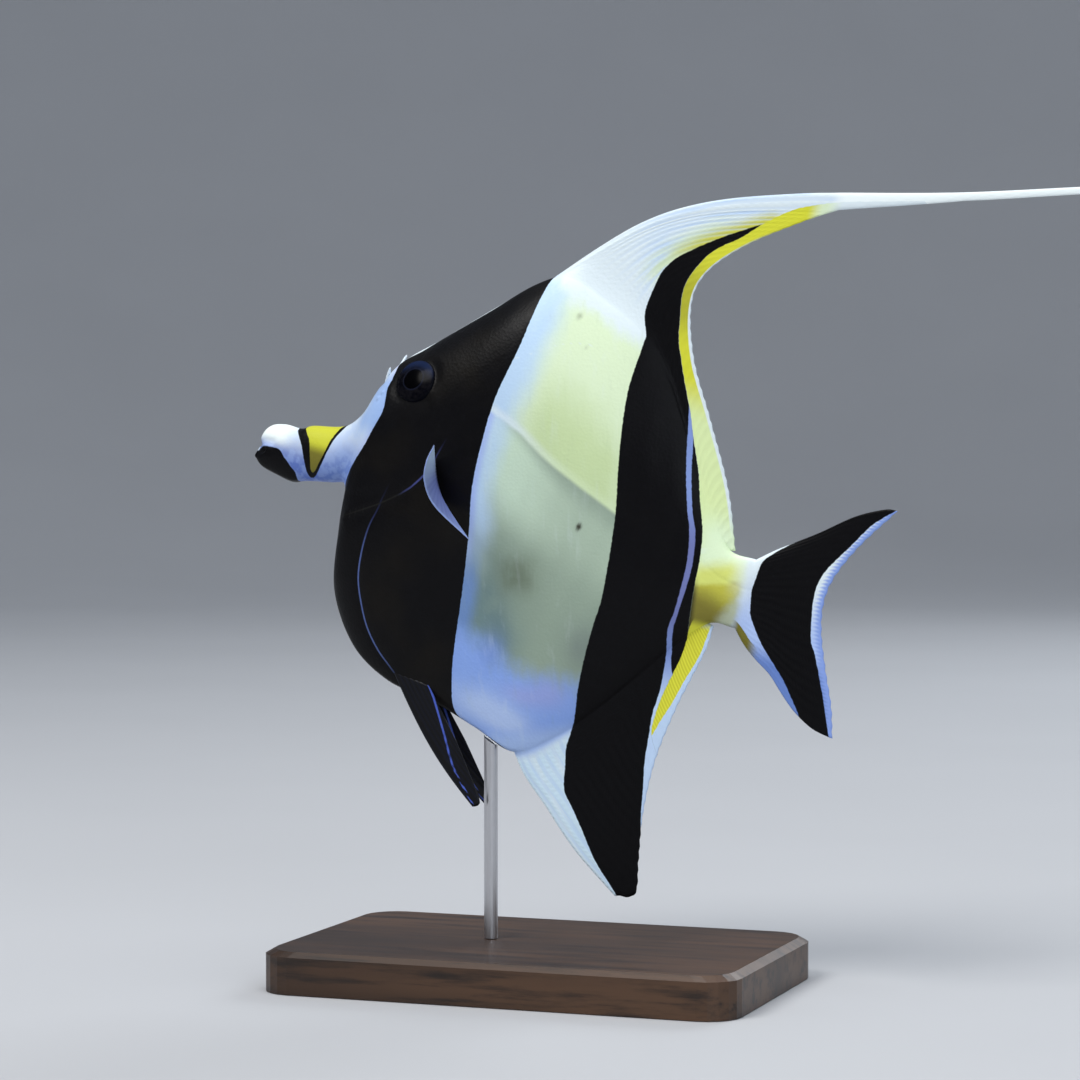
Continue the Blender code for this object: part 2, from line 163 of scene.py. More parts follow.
def smooth_step(x, low, high):
    t = np.clip((np.asarray(x, float) - low) / (high - low), 0, 1)
    return t * t * (3 - 2 * t)


def bell(x, width):
    return np.exp(-(np.asarray(x, float) / width) ** 2)


def gap_to(s, h, place, stretch=1.0):
    """Distance in mm from a place on the side, with lengths along the body stretched."""
    return np.hypot((s - place[0]) * stretch, h - place[1]) / MM


def smooth_curve(points, places):
    """Rows on a Catmull-Rom curve through points; places count points from 0."""
    known = np.asarray(points, float)
    padded = np.vstack([2 * known[0] - known[1], known, 2 * known[-1] - known[-2]])
    places = np.asarray(places, float)
    index = np.clip(places.astype(int), 0, len(known) - 2)
    f = (places - index)[:, None]
    before, start, end, after = (padded[index + k] for k in range(4))
    return (start + 0.5 * f * (end - before
                               + f * (2 * before - 5 * start + 4 * end - after
                                      + f * (3 * start - before - 3 * end + after))))


def even_curve(points, count):
    """Points evenly spaced by length along the smooth curve through points."""
    fine = smooth_curve(points, np.linspace(0, len(points) - 1, 40 * len(points)))
    steps = np.linalg.norm(np.diff(fine, axis=0), axis=1)
    length = np.concatenate([[0.0], np.cumsum(steps)])
    wanted = np.linspace(0, length[-1], count)
    return np.stack([np.interp(wanted, length, column) for column in fine.T], axis=1)


def spaced(first, last, count, density):
    """count numbers from first to last, closest together where density is highest."""
    fine = np.linspace(first, last, 1500)
    weight = density(fine)
    total = np.concatenate([[0.0], np.cumsum((weight[1:] + weight[:-1]) / 2)])
    return np.interp(np.linspace(0, total[-1], count), total, fine)


def section_width(share, row):
    """Half width at shares of the height, 0 at the belly and 1 at the back."""
    half, widest, roundness = row[4:]
    reach = np.where(share > widest, (share - widest) / (1 - widest), (widest - share) / widest)
    edge = np.minimum(EDGE_HALF_WIDTH, half * 0.45)
    return edge + (half - edge) * np.clip(1 - reach ** 2, 0, 1) ** roundness


def flank(s, h):
    """Half width of the body where the side view shows the point (s, h)."""
    stations = np.linspace(4, 18, 281)
    shares = np.linspace(0, 1, 101)
    rows = smooth_curve(STATIONS, stations)
    places = rows[:, None, 2:4] + shares[None, :, None] * (rows[:, None, 0:2] - rows[:, None, 2:4])
    near = np.argmin(np.hypot(places[..., 0] - s, places[..., 1] - h))
    i, j = np.unravel_index(near, places.shape[:2])
    return float(section_width(shares[j], rows[i]))


def coons(root, margin, first_edge, last_edge, outward):
    """Grid between four edges: root and margin run across, the other two run outwards."""
    across = np.linspace(0, 1, len(root))[:, None, None]
    outward = np.asarray(outward)[None, :, None]
    return ((1 - outward) * root[:, None] + outward * margin[:, None]
            + (1 - across) * first_edge[None] + across * last_edge[None]
            - (1 - across) * (1 - outward) * root[0] - (1 - across) * outward * margin[0]
            - across * (1 - outward) * root[-1] - across * outward * margin[-1])


def cheek_axes(side):
    """Unit axes at the eye: back along the cheek, up along it, and straight out of it."""
    s, h = EYE_PLACE
    reach = CHEEK_REACH
    widening_back = (flank(s + reach, h) - flank(s - reach, h)) / (2 * reach)
    widening_up = (flank(s, h + reach) - flank(s, h - reach)) / (2 * reach)
    out = side * ACROSS - widening_back * BACKWARD - widening_up * UPWARD
    out /= np.linalg.norm(out)
    back = BACKWARD - out * (out @ BACKWARD)
    back /= np.linalg.norm(back)
    return back, np.cross(out, back), out


# Marks of the skin as side outlines. Each is drawn from its top or front, and closed
# through points well clear of the fish.
FACE_FRONT = thousandths(
    (243, 300), (247, 248), (251, 236), (254, 214), (252, 194), (256, 176), (259, 158), (256, 140),
    (249, 119), (241, 92), (233, 71), (222, 45), (213, 23), (206, 2), (198, -40))
FACE_REAR = thousandths(
    (650, -412), (612, -395), (567, -381), (523, -368), (506, -347), (500, -319), (494, -262),
    (490, -147), (482, -34), (470, 48), (467, 104), (468, 151), (469, 198), (474, 241), (483, 286),
    (491, 335), (494, 379), (496, 421), (498, 451), (502, 480), (505, 540))
FACE_CLOSING = thousandths((300, 560), (200, 400))
FACE_BELOW = thousandths((100, -200), (150, -600), (560, -600))
REAR_BAR_FRONT = thousandths(
    (877, 659), (848, 644), (823, 629), (790, 609), (757, 586), (724, 560), (706, 539), (696, 518),
    (691, 494), (687, 469), (685, 450), (690, 429), (698, 412), (701, 394), (701, 323), (704, 286),
    (712, 233), (725, 161), (735, 108), (743, 54), (749, -10), (751, -75), (746, -124), (742, -182),
    (740, -250), (742, -299), (739, -338), (737, -364), (743, -395), (752, -440), (773, -465),
    (804, -502), (834, -541), (861, -567), (889, -591), (930, -630))
REAR_BAR_CLOSING = thousandths((1100, -630), (1300, 0), (1100, 640), (950, 658))
LINE_FRONT = thousandths(
    (803, 330), (816, 269), (827, 225), (842, 173), (859, 122), (872, 88), (880, 53), (884, 17),
    (884, -21), (882, -63), (877, -94), (879, -126), (884, -201), (883, -230), (881, -259),
    (885, -306), (888, -343), (898, -397), (906, -442), (920, -500))
LINE_FRONT_CLOSING = thousandths((1200, -500), (1200, 345))
LINE_REAR = thousandths(
    (806, 318), (827, 262), (845, 192), (867, 124), (882, 90), (890, 56), (894, 15), (892, -32),
    (888, -73), (886, -96), (891, -152), (905, -190))
LINE_REAR_CLOSING = thousandths((1200, -200), (1200, 330))
YELLOW_FRONT = thousandths(
    (1140, 758), (1070, 741), (1008, 726), (972, 715), (938, 702), (912, 690), (886, 672),
    (860, 650), (826, 617), (794, 593), (774, 572), (760, 548), (748, 519), (746, 489), (753, 448),
    (760, 413), (777, 371), (796, 329), (812, 296), (833, 245), (855, 195), (874, 144), (894, 93),
    (903, 49), (906, 10), (909, -34), (911, -71), (911, -108), (907, -147), (897, -188),
    (889, -230), (887, -290), (910, -330))
YELLOW_FRONT_CLOSING = thousandths((1300, -320), (1300, 600))
ANAL_YELLOW_FRONT = thousandths(
    (922, -50), (912, -89), (909, -118), (903, -149), (897, -178), (891, -209), (887, -250),
    (885, -296))
ANAL_YELLOW_REAR = thousandths(
    (890, -296), (900, -262), (912, -228), (922, -191), (933, -156), (941, -129), (945, -99),
    (949, -55))
TAIL_FRONT = thousandths(
    (1090, 150), (1069, 121), (1046, 102), (1024, 80), (1013, 64), (1010, 37), (1008, 12),
    (1012, -15), (1016, -32), (1029, -53), (1049, -79), (1075, -104), (1100, -127), (1113, -142),
    (1142, -178), (1160, -205))
TAIL_INNER = thousandths(
    (1212, -212), (1206, -198), (1183, -144), (1164, -103), (1148, -70), (1134, -46), (1123, 6),
    (1120, 39), (1124, 66), (1135, 91), (1162, 134), (1188, 177), (1210, 202), (1226, 216))
TAIL_BELOW = thousandths((1180, -230), (1210, -235))
TAIL_ABOVE = thousandths((1235, 240), (1150, 215))
TAIL_STRIPE = thousandths(
    (975, -40), (1001, -55), (1026, -77), (1049, -94), (1074, -115), (1099, -136), (1113, -149),
    (1137, -176), (1150, -200))
TAIL_STRIPE_CLOSING = thousandths((1120, -260), (960, -100))
SADDLE = thousandths(
    (88, 110), (88, 82), (109, 58), (119, 32), (126, 4), (133, 2), (140, 18), (148, 43), (154, 70),
    (162, 95), (166, 120))
RING = thousandths(
    (62, 110), (69, 80), (77, 67), (96, 45), (109, 19), (118, -2), (128, -11), (139, 0), (148, 24),
    (155, 51), (162, 76), (173, 101), (180, 125))
JAW = thousandths(
    (-12, 6), (4, 13), (22, 24), (44, 26), (55, 25), (67, 14), (82, 2), (94, -8), (99, -22),
    (106, -45))
JAW_CLOSING = thousandths((60, -80), (-30, -50))

# Open lines on the flank
MOUTH_SLIT = thousandths((-12, 12), (4, 14), (22, 25), (44, 26))
GILL_EDGE = thousandths(
    (384, 88), (378, 71), (366, 51), (353, 34), (333, 14), (306, -7), (278, -26), (226, -56))
GILL_REAR = thousandths((378, 71), (384, 105), (380, 142), (364, 180), (340, 208))
CHEEK_EDGE = thousandths((366, 56), (346, 30), (312, 15), (261, 2), (220, -15))
CHEST_ARC = thousandths(
    (297, -12), (292, -30), (282, -65), (277, -115), (279, -163), (293, -208), (313, -251),
    (341, -287), (370, -312))
FLANK_RIDGE = thousandths(
    (400, 222), (445, 212), (491, 198), (536, 178), (592, 146), (646, 122), (709, 96), (780, 66),
    (860, 36), (940, 14), (1010, 4))
LATERAL_LINE = thousandths(
    (368, 180), (410, 240), (459, 290), (514, 324), (561, 353), (610, 366), (660, 352), (715, 302),
    (770, 222), (820, 142), (870, 72), (930, 26), (1005, 8))

# Places (s, h) on the head, among them a painted glint at the lips, and the reaches of s in which
# the forehead's top edge is rounded and carries a painted white highlight
NOSTRILS = thousandths((238, 172), (243, 184))
LIP_GLINT = (0.002, 0.0140)
FOREHEAD_ON = (0.255, 0.263)
FOREHEAD_OFF = (0.435, 0.395)
# Spots of the left flank: s, h, size in mm and strength
SPOTS = [(0.577, 0.411, 1.5, 0.45), (0.608, 0.361, 1.1, 0.35), (0.681, 0.042, 1.1, 1.0)]

# Closed outlines of the marks, each made of smooth curves with their point counts and of
# straight runs, whose count is 0
MARKS = {
    "face": [(FACE_FRONT, 90), (FACE_BELOW, 0), (FACE_REAR, 120), (FACE_CLOSING, 0)],
    "rear_bar": [(REAR_BAR_FRONT, 160), (REAR_BAR_CLOSING, 0)],
    "line_front": [(LINE_FRONT, 90), (LINE_FRONT_CLOSING, 0)],
    "line_rear": [(LINE_REAR, 90), (LINE_REAR_CLOSING, 0)],
    "yellow": [(YELLOW_FRONT, 160), (YELLOW_FRONT_CLOSING, 0)],
    "anal_yellow": [(ANAL_YELLOW_FRONT, 40), (ANAL_YELLOW_REAR, 40)],
    "tail_black": [(TAIL_FRONT, 90), (TAIL_BELOW, 0), (TAIL_INNER, 90), (TAIL_ABOVE, 0)],
    "tail_olive": [(TAIL_STRIPE, 90), (TAIL_STRIPE_CLOSING, 0)],
    "saddle": [(SADDLE, 90)],
    "ring": [(RING, 90)],
    "jaw": [(JAW, 90), (JAW_CLOSING, 0)],
    "dorsal_rim": [([DORSAL_LEADING_EDGE[-1], *DORSAL_REAR_MARGIN], 160),
                   ([(0.7, 0.0), (0.5, 0.4)], 0)],
}


def closed_outline(parts):
    return np.vstack([even_curve(points, count) if count else points for points, count in parts])


def inside_distance(s, h, outline):
    """Distance in mm of points from a closed outline, above zero inside it."""
    px, py = np.ravel(s), np.ravel(h)
    end = np.roll(outline, -1, axis=0)
    along = end - outline
    length2 = np.maximum((along ** 2).sum(axis=1), 1e-18)
    nearest = np.full(px.shape, np.inf)
    inside = np.zeros(px.shape, bool)
    for (x0, y0), (dx, dy), (_, y1), size in zip(outline, along, end, length2):
        t = np.clip(((px - x0) * dx + (py - y0) * dy) / size, 0, 1)
        nearest = np.minimum(nearest, (px - x0 - t * dx) ** 2 + (py - y0 - t * dy) ** 2)
        if y0 != y1:
            crosses = (y0 > py) != (y1 > py)
            inside ^= crosses & (px < x0 + (py - y0) * dx / dy)
    distance = np.sqrt(nearest) / MM
    return np.where(inside, distance, -distance).reshape(np.shape(s))


def line_distance(s, h, points, count=60):
    """Distance in mm from an open line, the side (+1 above it) and the share along it."""
    curve = even_curve(points, count)
    px, py = np.ravel(s), np.ravel(h)
    nearest = np.full(px.shape, np.inf)
    side = np.ones(px.shape)
    share = np.zeros(px.shape)
    for k in range(count - 1):
        x0, y0 = curve[k]
        dx, dy = curve[k + 1] - curve[k]
        t = ((px - x0) * dx + (py - y0) * dy) / (dx * dx + dy * dy)
        t = np.clip(t, -1e9 if k == 0 else 0, 1e9 if k == count - 2 else 1)
        gap = (px - x0 - t * dx) ** 2 + (py - y0 - t * dy) ** 2
        closer = gap < nearest
        nearest = np.where(closer, gap, nearest)
        side = np.where(closer, np.sign(dx * (py - y0) - dy * (px - x0)), side)
        share = np.where(closer, (k + t) / (count - 1), share)
    shape = np.shape(s)
    return ((np.sqrt(nearest) / MM).reshape(shape), side.reshape(shape), share.reshape(shape))


def within(share, fade=0.06):
    """1 along a line and 0 past its ends."""
    after_end = smooth_step(share, 1 - fade / 2, 1 + fade / 2)
    return smooth_step(share, -fade / 2, fade / 2) * (1 - after_end)


class HalfSkin:
    """Left half of the skin as quads between vertices (s, h, half width)."""

    def __init__(self):
        self.points = np.zeros((0, 3))
        self.traits = {name: np.zeros(0) for name in ("ray", "outward", "edge")}
        self.quads = []

    def add(self, grid, **traits):
        """Adds a grid of vertices and gives back the array of their numbers."""
        first = len(self.points)
        count = grid.shape[0] * grid.shape[1]
        self.points = np.vstack([self.points, grid.reshape(count, 3)])
        for name, values in self.traits.items():
            new = np.broadcast_to(traits.get(name, 0.0), grid.shape[:2]).reshape(count)
            self.traits[name] = np.concatenate([values, new])
        return first + np.arange(count).reshape(grid.shape[:2])

    def join(self, numbers, flip=False):
        """Quads over a grid of vertex numbers whose first index runs back, second up."""
        a, b = numbers[:-1, :-1], numbers[1:, :-1]
        c, d = numbers[1:, 1:], numbers[:-1, 1:]
        order = (d, c, b, a) if flip else (a, b, c, d)
        self.quads.append(np.stack(order, axis=-1).reshape(-1, 4))


def body_columns():
    """Station numbers of the body's columns, and where the fins start and end."""
    def near_eye(u):
        return 1.0 + 0.9 * bell(u - EYE_STATION, 1.1) + 0.3 * bell(u - 1.0, 1.5)
    head = spaced(0.0, DORSAL_START, 168, near_eye)
    back = np.linspace(DORSAL_START, ANAL_START, 53)
    fins = np.linspace(ANAL_START, MEDIAN_FIN_END, 105)
    stalk = np.linspace(MEDIAN_FIN_END, BODY_END, 13)
    stations = np.concatenate([head, back[1:], fins[1:], stalk[1:]])
    marks = [len(head) - 1, len(head) + len(back) - 2, len(head) + len(back) + len(fins) - 3]
    return stations, marks


def column_shares(station):
    """Shares of the height at the rows of one column, closer at its ends and by the eye."""
    def density(v):
        by_eye = bell(v - 0.85, 0.08) * bell(station - EYE_STATION, 1.2)
        return 1 / np.sqrt(v * (1 - v) + 0.004) + 3.2 * by_eye
    return spaced(0.0, 1.0, ROWS + 1, density)


def fin_share(stations, first, last):
    """How far a fin's root has taken over the body's edge, 0 off the fin and 1 on it."""
    return smooth_step(stations, first - 0.001, first + 0.22) * (
        1 - smooth_step(stations, last - 0.22, last + 0.001))


def body_grid(stations):
    """Bare body surface as columns of (s, h, half width), with rounded lips in front."""
    rows = smooth_curve(STATIONS, stations)
    shares = np.stack([column_shares(station) for station in stations])
    line = rows[:, None, 2:4] + shares[..., None] * (rows[:, None, 0:2] - rows[:, None, 2:4])
    height = np.linalg.norm(rows[:, 0:2] - rows[:, 2:4], axis=1)[:, None] / MM
    width = np.stack([section_width(v, row) for v, row in zip(shares, rows)])
    on_back = fin_share(stations, DORSAL_START, MEDIAN_FIN_END)[:, None]
    on_belly = fin_share(stations, ANAL_START, MEDIAN_FIN_END)[:, None]
    from_back = (1 - shares) * height
    from_belly = shares * height
    for distance, fin in ((from_back, on_back), (from_belly, on_belly)):
        reach = np.clip(1 - distance / 0.8, 0, 1)
        rounding = np.sqrt(1 - 0.965 * reach ** 2)
        width = width * (rounding + (1 - rounding) * fin)
    grid = np.concatenate([line, width[..., None]], axis=2)
    turns = np.linspace(0.10, 1.0, CAP_COLUMNS + 1)[:-1] * math.pi / 2
    middle = grid[0].mean(axis=0) * np.array([1, 1, 0])
    caps = [middle + (grid[0] - middle) * math.sin(turn)
            + np.array([-0.0055 * math.cos(turn), 0, 0]) for turn in turns]
    grid = np.concatenate([np.stack(caps), grid])
    back_gap = np.concatenate([np.repeat(from_back[:1], CAP_COLUMNS, axis=0), from_back])
    return grid, back_gap


def grid_normals(grid):
    normal = np.cross(np.gradient(grid, axis=1), np.gradient(grid, axis=0))
    size = np.linalg.norm(normal, axis=2, keepdims=True)
    return normal / np.maximum(size, 1e-12)


def eye_gap(s, h, w, side=1.0):
    """Places of points about the eye in mm: distance from its axis, and height out of it."""
    back, up, out = cheek_axes(side)
    centre = to_world(*EYE_PLACE, side * flank(*EYE_PLACE))
    offset = (to_world(s, h, np.asarray(w) * side) - centre) * 1000
    return np.hypot(offset @ back, offset @ up), offset @ out


def mouth_relief(s, h):
    gap, side, share = line_distance(s, h, MOUTH_SLIT)
    along = 1 - smooth_step(share, 0.85, 1.0)
    slit = -0.55 * bell(gap, 0.34) * along
    upper_lip = 0.30 * bell(gap - 1.7, 0.9) * along * (side > 0)
    lower_lip = 0.30 * bell(gap - 1.3, 0.9) * along * (side < 0)
    return slit + upper_lip + lower_lip


def cheek_relief(s, h):
    """Edge of the gill cover, the cheek plate's edge and the ridge round the chest."""
    gap, side, share = line_distance(s, h, GILL_EDGE)
    lower = np.where(side > 0, 0.42 * bell(gap, 3.5), -0.30 * bell(gap, 0.9)) * within(share)
    gap, side, share = line_distance(s, h, GILL_REAR)
    rear = np.where(side > 0, 0.40 * bell(gap, 3.5), -0.30 * bell(gap, 0.9)) * within(share, 0.3)
    gap, side, share = line_distance(s, h, CHEEK_EDGE)
    cheek = np.where(side > 0, 0.16 * bell(gap, 2.5), 0.0) * within(share, 0.2)
    gap, side, share = line_distance(s, h, CHEST_ARC)
    chest = 0.30 * bell(gap, 0.8) * within(share, 0.15)
    return lower + rear + cheek + chest


def flank_relief(s, h):
    """Crease of the flank ridge, the lateral line and soft swellings of the muscle."""
    gap, side, share = line_distance(s, h, FLANK_RIDGE)
    along = smooth_step(share, 0.0, 0.12) * (1 - 0.6 * smooth_step(share, 0.7, 1.0))
    across = np.hypot(gap, 0.55) - 0.55
    crease = along * 0.70 * np.exp(-across / np.where(side > 0, 9.0, 7.0))
    gap, side, share = line_distance(s, h, LATERAL_LINE, 90)
    lateral = 0.10 * bell(gap, 0.45) * within(share, 0.05)
    on_trunk = smooth_step(s, 0.30, 0.46) * (1 - smooth_step(np.abs(h), 0.25, 0.36))
    segments = 0.045 * np.sin((s + 0.22 * np.abs(h - 0.12)) * 118) * on_trunk
    swell = 0.10 * np.sin(31 * s + 9 * h) * np.sin(23 * h - 6 * s + 0.7) * on_trunk
    return crease + lateral + segments + swell


def head_relief(s, h):
    """Nostrils with low rims, and swellings at the pectoral fin, the brow and the horn."""
    nostrils = 0
    for place in NOSTRILS:
        gap = gap_to(s, h, place)
        nostrils = nostrils - 0.55 * bell(gap, 0.42) + 0.16 * bell(gap - 0.85, 0.35)
    fin_base = 0.9 * bell(gap_to(s, h, (0.400, 0.052), 1.4), 5.0)
    brow = 0.5 * bell(gap_to(s, h, (0.286, 0.268)), 4.0)
    horn_base = 0.35 * bell(gap_to(s, h, HORN_PLACE), 1.6)
    return nostrils + fin_base + brow + horn_base


def eye_height(reach):
    """Height of the eyeball in mm over the cheek, at shares of its radius."""
    dome = EYE_PROUD * 1000 * (1 - (np.asarray(reach) / 0.97) ** 2.3)
    return dome - 1.5 * smooth_step(reach, 0.90, 1.0)


def sink_eye_socket(grid):
    """Draws the cheek in under the eyeball."""
    distance, height = eye_gap(grid[..., 0], grid[..., 1], grid[..., 2])
    reach = np.clip(distance / (EYE_RADIUS * 1000), 0, 1)
    under = np.maximum(eye_height(reach) - SOCKET_GAP, -0.5)
    outer = smooth_step(distance, *SOCKET_EDGE)
    drop = (1 - outer) * (np.minimum(height, under) - height) * (height > -6)
    move = np.clip(drop, -SOCKET_DEPTH, 0.0) * MM
    out = cheek_axes(1.0)[2]
    grid[..., 0] += move * (out @ BACKWARD)
    grid[..., 1] += move * (out @ UPWARD)
    grid[..., 2] = np.maximum(grid[..., 2] + move * out[1], 0.12 * MM)


def draw_back_lip(grid):
    """Sets the upper lip's lower edge behind the tip of the lower jaw."""
    s, h = grid[..., 0], grid[..., 1]
    grid[..., 0] += 0.0120 * bell(h - 0.0175, 0.0095) * (1 - smooth_step(s, 0.008, 0.026))


def shape_body(grid):
    draw_back_lip(grid)
    s, h = grid[..., 0], grid[..., 1]
    relief = mouth_relief(s, h) + cheek_relief(s, h) + flank_relief(s, h) + head_relief(s, h)
    shares = np.linspace(0, 1, grid.shape[1])[None, :]
    edge = np.minimum(shares, 1 - shares)
    mouth = 1 - smooth_step(s, 0.05, 0.10)
    relief = relief * np.maximum(smooth_step(edge, 0.0, 0.05), mouth)
    grid = grid + grid_normals(grid) * relief[..., None] * MM
    grid[..., 2] = np.maximum(grid[..., 2], 0.10 * MM)
    sink_eye_socket(grid)
    return grid


def fin_steps(count):
    """Shares from root to margin, a little closer together at both."""
    t = np.linspace(0, 1, count + 1)
    return t - 0.45 * np.sin(2 * math.pi * t) / (2 * math.pi)


def fin_widths(root_width, outward, ray, taper=2.0, ray_height=0.10):
    """Half widths of a fin from its root to its margin, ribbed by its rays."""
    base = FIN_HALF_THICKNESS + (root_width[:, None] - FIN_HALF_THICKNESS) * (
        1 - outward[None, :]) ** taper
    rib = 0.5 + 0.5 * np.cos(2 * math.pi * ray)
    grown = smooth_step(outward, 0.03, 0.22) * (1 - 0.6 * smooth_step(outward, 0.8, 1.0))
    return base + (rib - 0.45) * ray_height * MM * grown[None, :]


def scallop(flat, ray, reach=0.42, first=0):
    """Lets the ray tips stand out of a fin's margin, from column first on."""
    tips = flat[first:, -1] - flat[first:, -3]
    tips /= np.linalg.norm(tips, axis=1, keepdims=True)
    lobes = (0.5 + 0.5 * np.cos(2 * math.pi * ray[first:, -1]))[:, None] - 0.5
    for step, share in ((-1, 1.0), (-2, 0.5)):
        flat[first:, step] += tips * lobes * reach * share * MM


def thin_borders(width, first=0):
    """Thins a fin's front and rear edges, and its margin from column first on."""
    width[[0, -1], 1:] *= 0.75
    width[first:, -1] *= 0.6
    return width


def edge_curve(points, outward):
    """Points of a smooth curve at shares of its length."""
    fine = even_curve(points, EDGE_SAMPLES)
    return fine[np.round(outward * (EDGE_SAMPLES - 1)).astype(int)]


def fin_outline(root, margin, outward, leading, trailing=None):
    """Side view of a median fin, with its ray numbers; a missing edge runs straight."""
    start, end = root[0, :2], root[-1, :2]
    first_edge = edge_curve([start, *leading], outward)
    if trailing is None:
        last_edge = end + outward[:, None] * (margin[-1] - end)
    else:
        last_edge = edge_curve([end, *trailing], outward)
    flat = coons(root[:, :2], margin, first_edge, last_edge, outward)
    ray = np.broadcast_to(np.arange(len(root))[:, None] / COLUMNS_PER_RAY, flat.shape[:2])
    return flat, ray


def add_fin(skin, roots, flat, width, ray, outward):
    """Adds a median fin and gives back its vertices' numbers, with its roots' in front."""
    grid = np.concatenate([flat, width[..., None]], axis=2)
    numbers = skin.add(grid[:, 1:], ray=ray, outward=outward)
    return np.concatenate([roots[:, None], numbers], axis=1)


def add_dorsal(skin, roots):
    """Dorsal fin from the back to its margin, and the long streamer that goes on from it."""
    root = skin.points[roots]
    outward = fin_steps(DORSAL_STEPS)
    tip = np.linspace(DORSAL_LEADING_EDGE[-1], DORSAL_REAR_MARGIN[0], STREAMER_COLUMNS + 1)
    rear = even_curve(DORSAL_REAR_MARGIN, len(roots) - STREAMER_COLUMNS)
    margin = np.vstack([tip[:-1], rear])
    flat, ray = fin_outline(root, margin, outward, DORSAL_LEADING_EDGE)
    scallop(flat, ray, 0.26, STREAMER_COLUMNS + 8)
    width = fin_widths(root[:, 2], outward, ray)
    front = STREAMER_COLUMNS + 4
    stout = 0.16 * MM * bell(np.arange(front) - 3, 4)
    width[:front] += stout[:, None] * smooth_step(outward, 0.1, 0.5)
    thin_borders(width, STREAMER_COLUMNS)
    numbers = add_fin(skin, roots, flat, width, ray[:, 1:], outward[None, 1:])
    skin.join(numbers)
    add_streamer(skin, numbers[:STREAMER_COLUMNS + 1, -1], ray[:STREAMER_COLUMNS + 1, -1])
    return numbers


def add_streamer(skin, roots, ray):
    """Long streamer, a band with a low crown that narrows along its upper edge."""
    upper = even_curve(STREAMER_UPPER_EDGE, STREAMER_STEPS + 1)
    along = np.gradient(upper, axis=0)
    down = np.stack([along[:, 1], -along[:, 0]], axis=1)
    down /= np.linalg.norm(down, axis=1, keepdims=True)
    share = np.linspace(0, 1, len(upper))
    widths = np.interp(share, np.linspace(0, 1, len(STREAMER_WIDTHS)), STREAMER_WIDTHS)
    start = skin.points[roots]
    turn = smooth_step(share, 0.0, 0.08)[:, None]
    down = (1 - turn) * (start[-1, :2] - start[0, :2]) / widths[0] + turn * down
    across = np.linspace(0, 1, len(roots))
    flat = upper[None] + across[:, None, None] * (down * widths[:, None])[None]
    crown = np.sqrt(np.clip(1 - (1.7 * (across - 0.5)) ** 2, 0.05, 1))
    crown = crown[:, None] * (0.42 - 0.26 * share[None, :]) * MM
    settle = smooth_step(share, 0.0, 0.10)[None, :]
    width = start[:, 2:3] * (1 - settle) + crown * settle
    skin.join(add_fin(skin, roots, flat, width, ray[:, None], 1.0 + share[None, 1:]))


def add_plain_fin(skin, roots, steps, margin, *edges, **build):
    """Adds the anal or the tail fin and gives back its vertices' numbers."""
    root = skin.points[roots]
    outward = fin_steps(steps)
    flat, ray = fin_outline(root, even_curve(margin, len(roots)), outward, *edges)
    scallop(flat, ray, 0.3)
    width = thin_borders(fin_widths(root[:, 2], outward, ray, **build))
    return add_fin(skin, roots, flat, width, ray[:, 1:], outward[None, 1:])


def quad_edges(quads):
    return np.vstack([quads[:, [k, (k + 1) % 4]] for k in range(4)])


def relax_fin_roots(skin, numbers, rounds=260):
    """Softens the crease where the median fins leave the body."""
    edges = np.unique(np.sort(quad_edges(np.vstack(skin.quads)), axis=1), axis=0)
    count = len(skin.points)
    degree = np.bincount(edges.ravel(), minlength=count)
    mask = np.zeros(count)
    for values, amount in numbers:
        mask[values] = np.maximum(mask[values], amount)
    width = skin.points[:, 2]
    for _ in range(rounds):
        total = np.bincount(edges[:, 0], width[edges[:, 1]], count)
        total += np.bincount(edges[:, 1], width[edges[:, 0]], count)
        width = width + 0.5 * mask * (total / np.maximum(degree, 1) - width)
    skin.points[:, 2] = width


def build_half():
    stations, marks = body_columns()
    grid, back_gap = body_grid(stations)
    skin = HalfSkin()
    body = skin.add(shape_body(grid), edge=back_gap)
    skin.join(body)
    dorsal, anal, end = (mark + CAP_COLUMNS for mark in marks)
    dorsal_fin = add_dorsal(skin, body[dorsal:end + 1, -1])
    anal_margin = [ANAL_LEADING_EDGE[-1], *ANAL_REAR_MARGIN]
    anal_fin = add_plain_fin(skin, body[anal:end + 1, 0], ANAL_STEPS, anal_margin,
                             ANAL_LEADING_EDGE)
    skin.join(anal_fin, flip=True)
    tail_fin = add_plain_fin(skin, body[-1], TAIL_STEPS, TAIL_REAR_MARGIN[::-1],
                             TAIL_LOWER_EDGE, TAIL_UPPER_EDGE, taper=2.4, ray_height=0.12)
    skin.join(tail_fin.T)
    near_fins = 0
    rows = np.arange(ROWS + 1)
    for first, gap in ((DORSAL_START, ROWS - rows), (ANAL_START, rows)):
        reached = np.concatenate([np.zeros(CAP_COLUMNS),
                                  fin_share(stations, first, MEDIAN_FIN_END)])
        near_fins = near_fins + bell(gap, 15.0)[None, :] * reached[:, None]
    near_root = bell(np.arange(12), 6.0)[None, :]
    relax_fin_roots(skin, [(body, np.clip(near_fins, 0, 1)), (dorsal_fin[6:-2, :12], near_root),
                           (anal_fin[6:-2, :12], near_root)])
    return skin


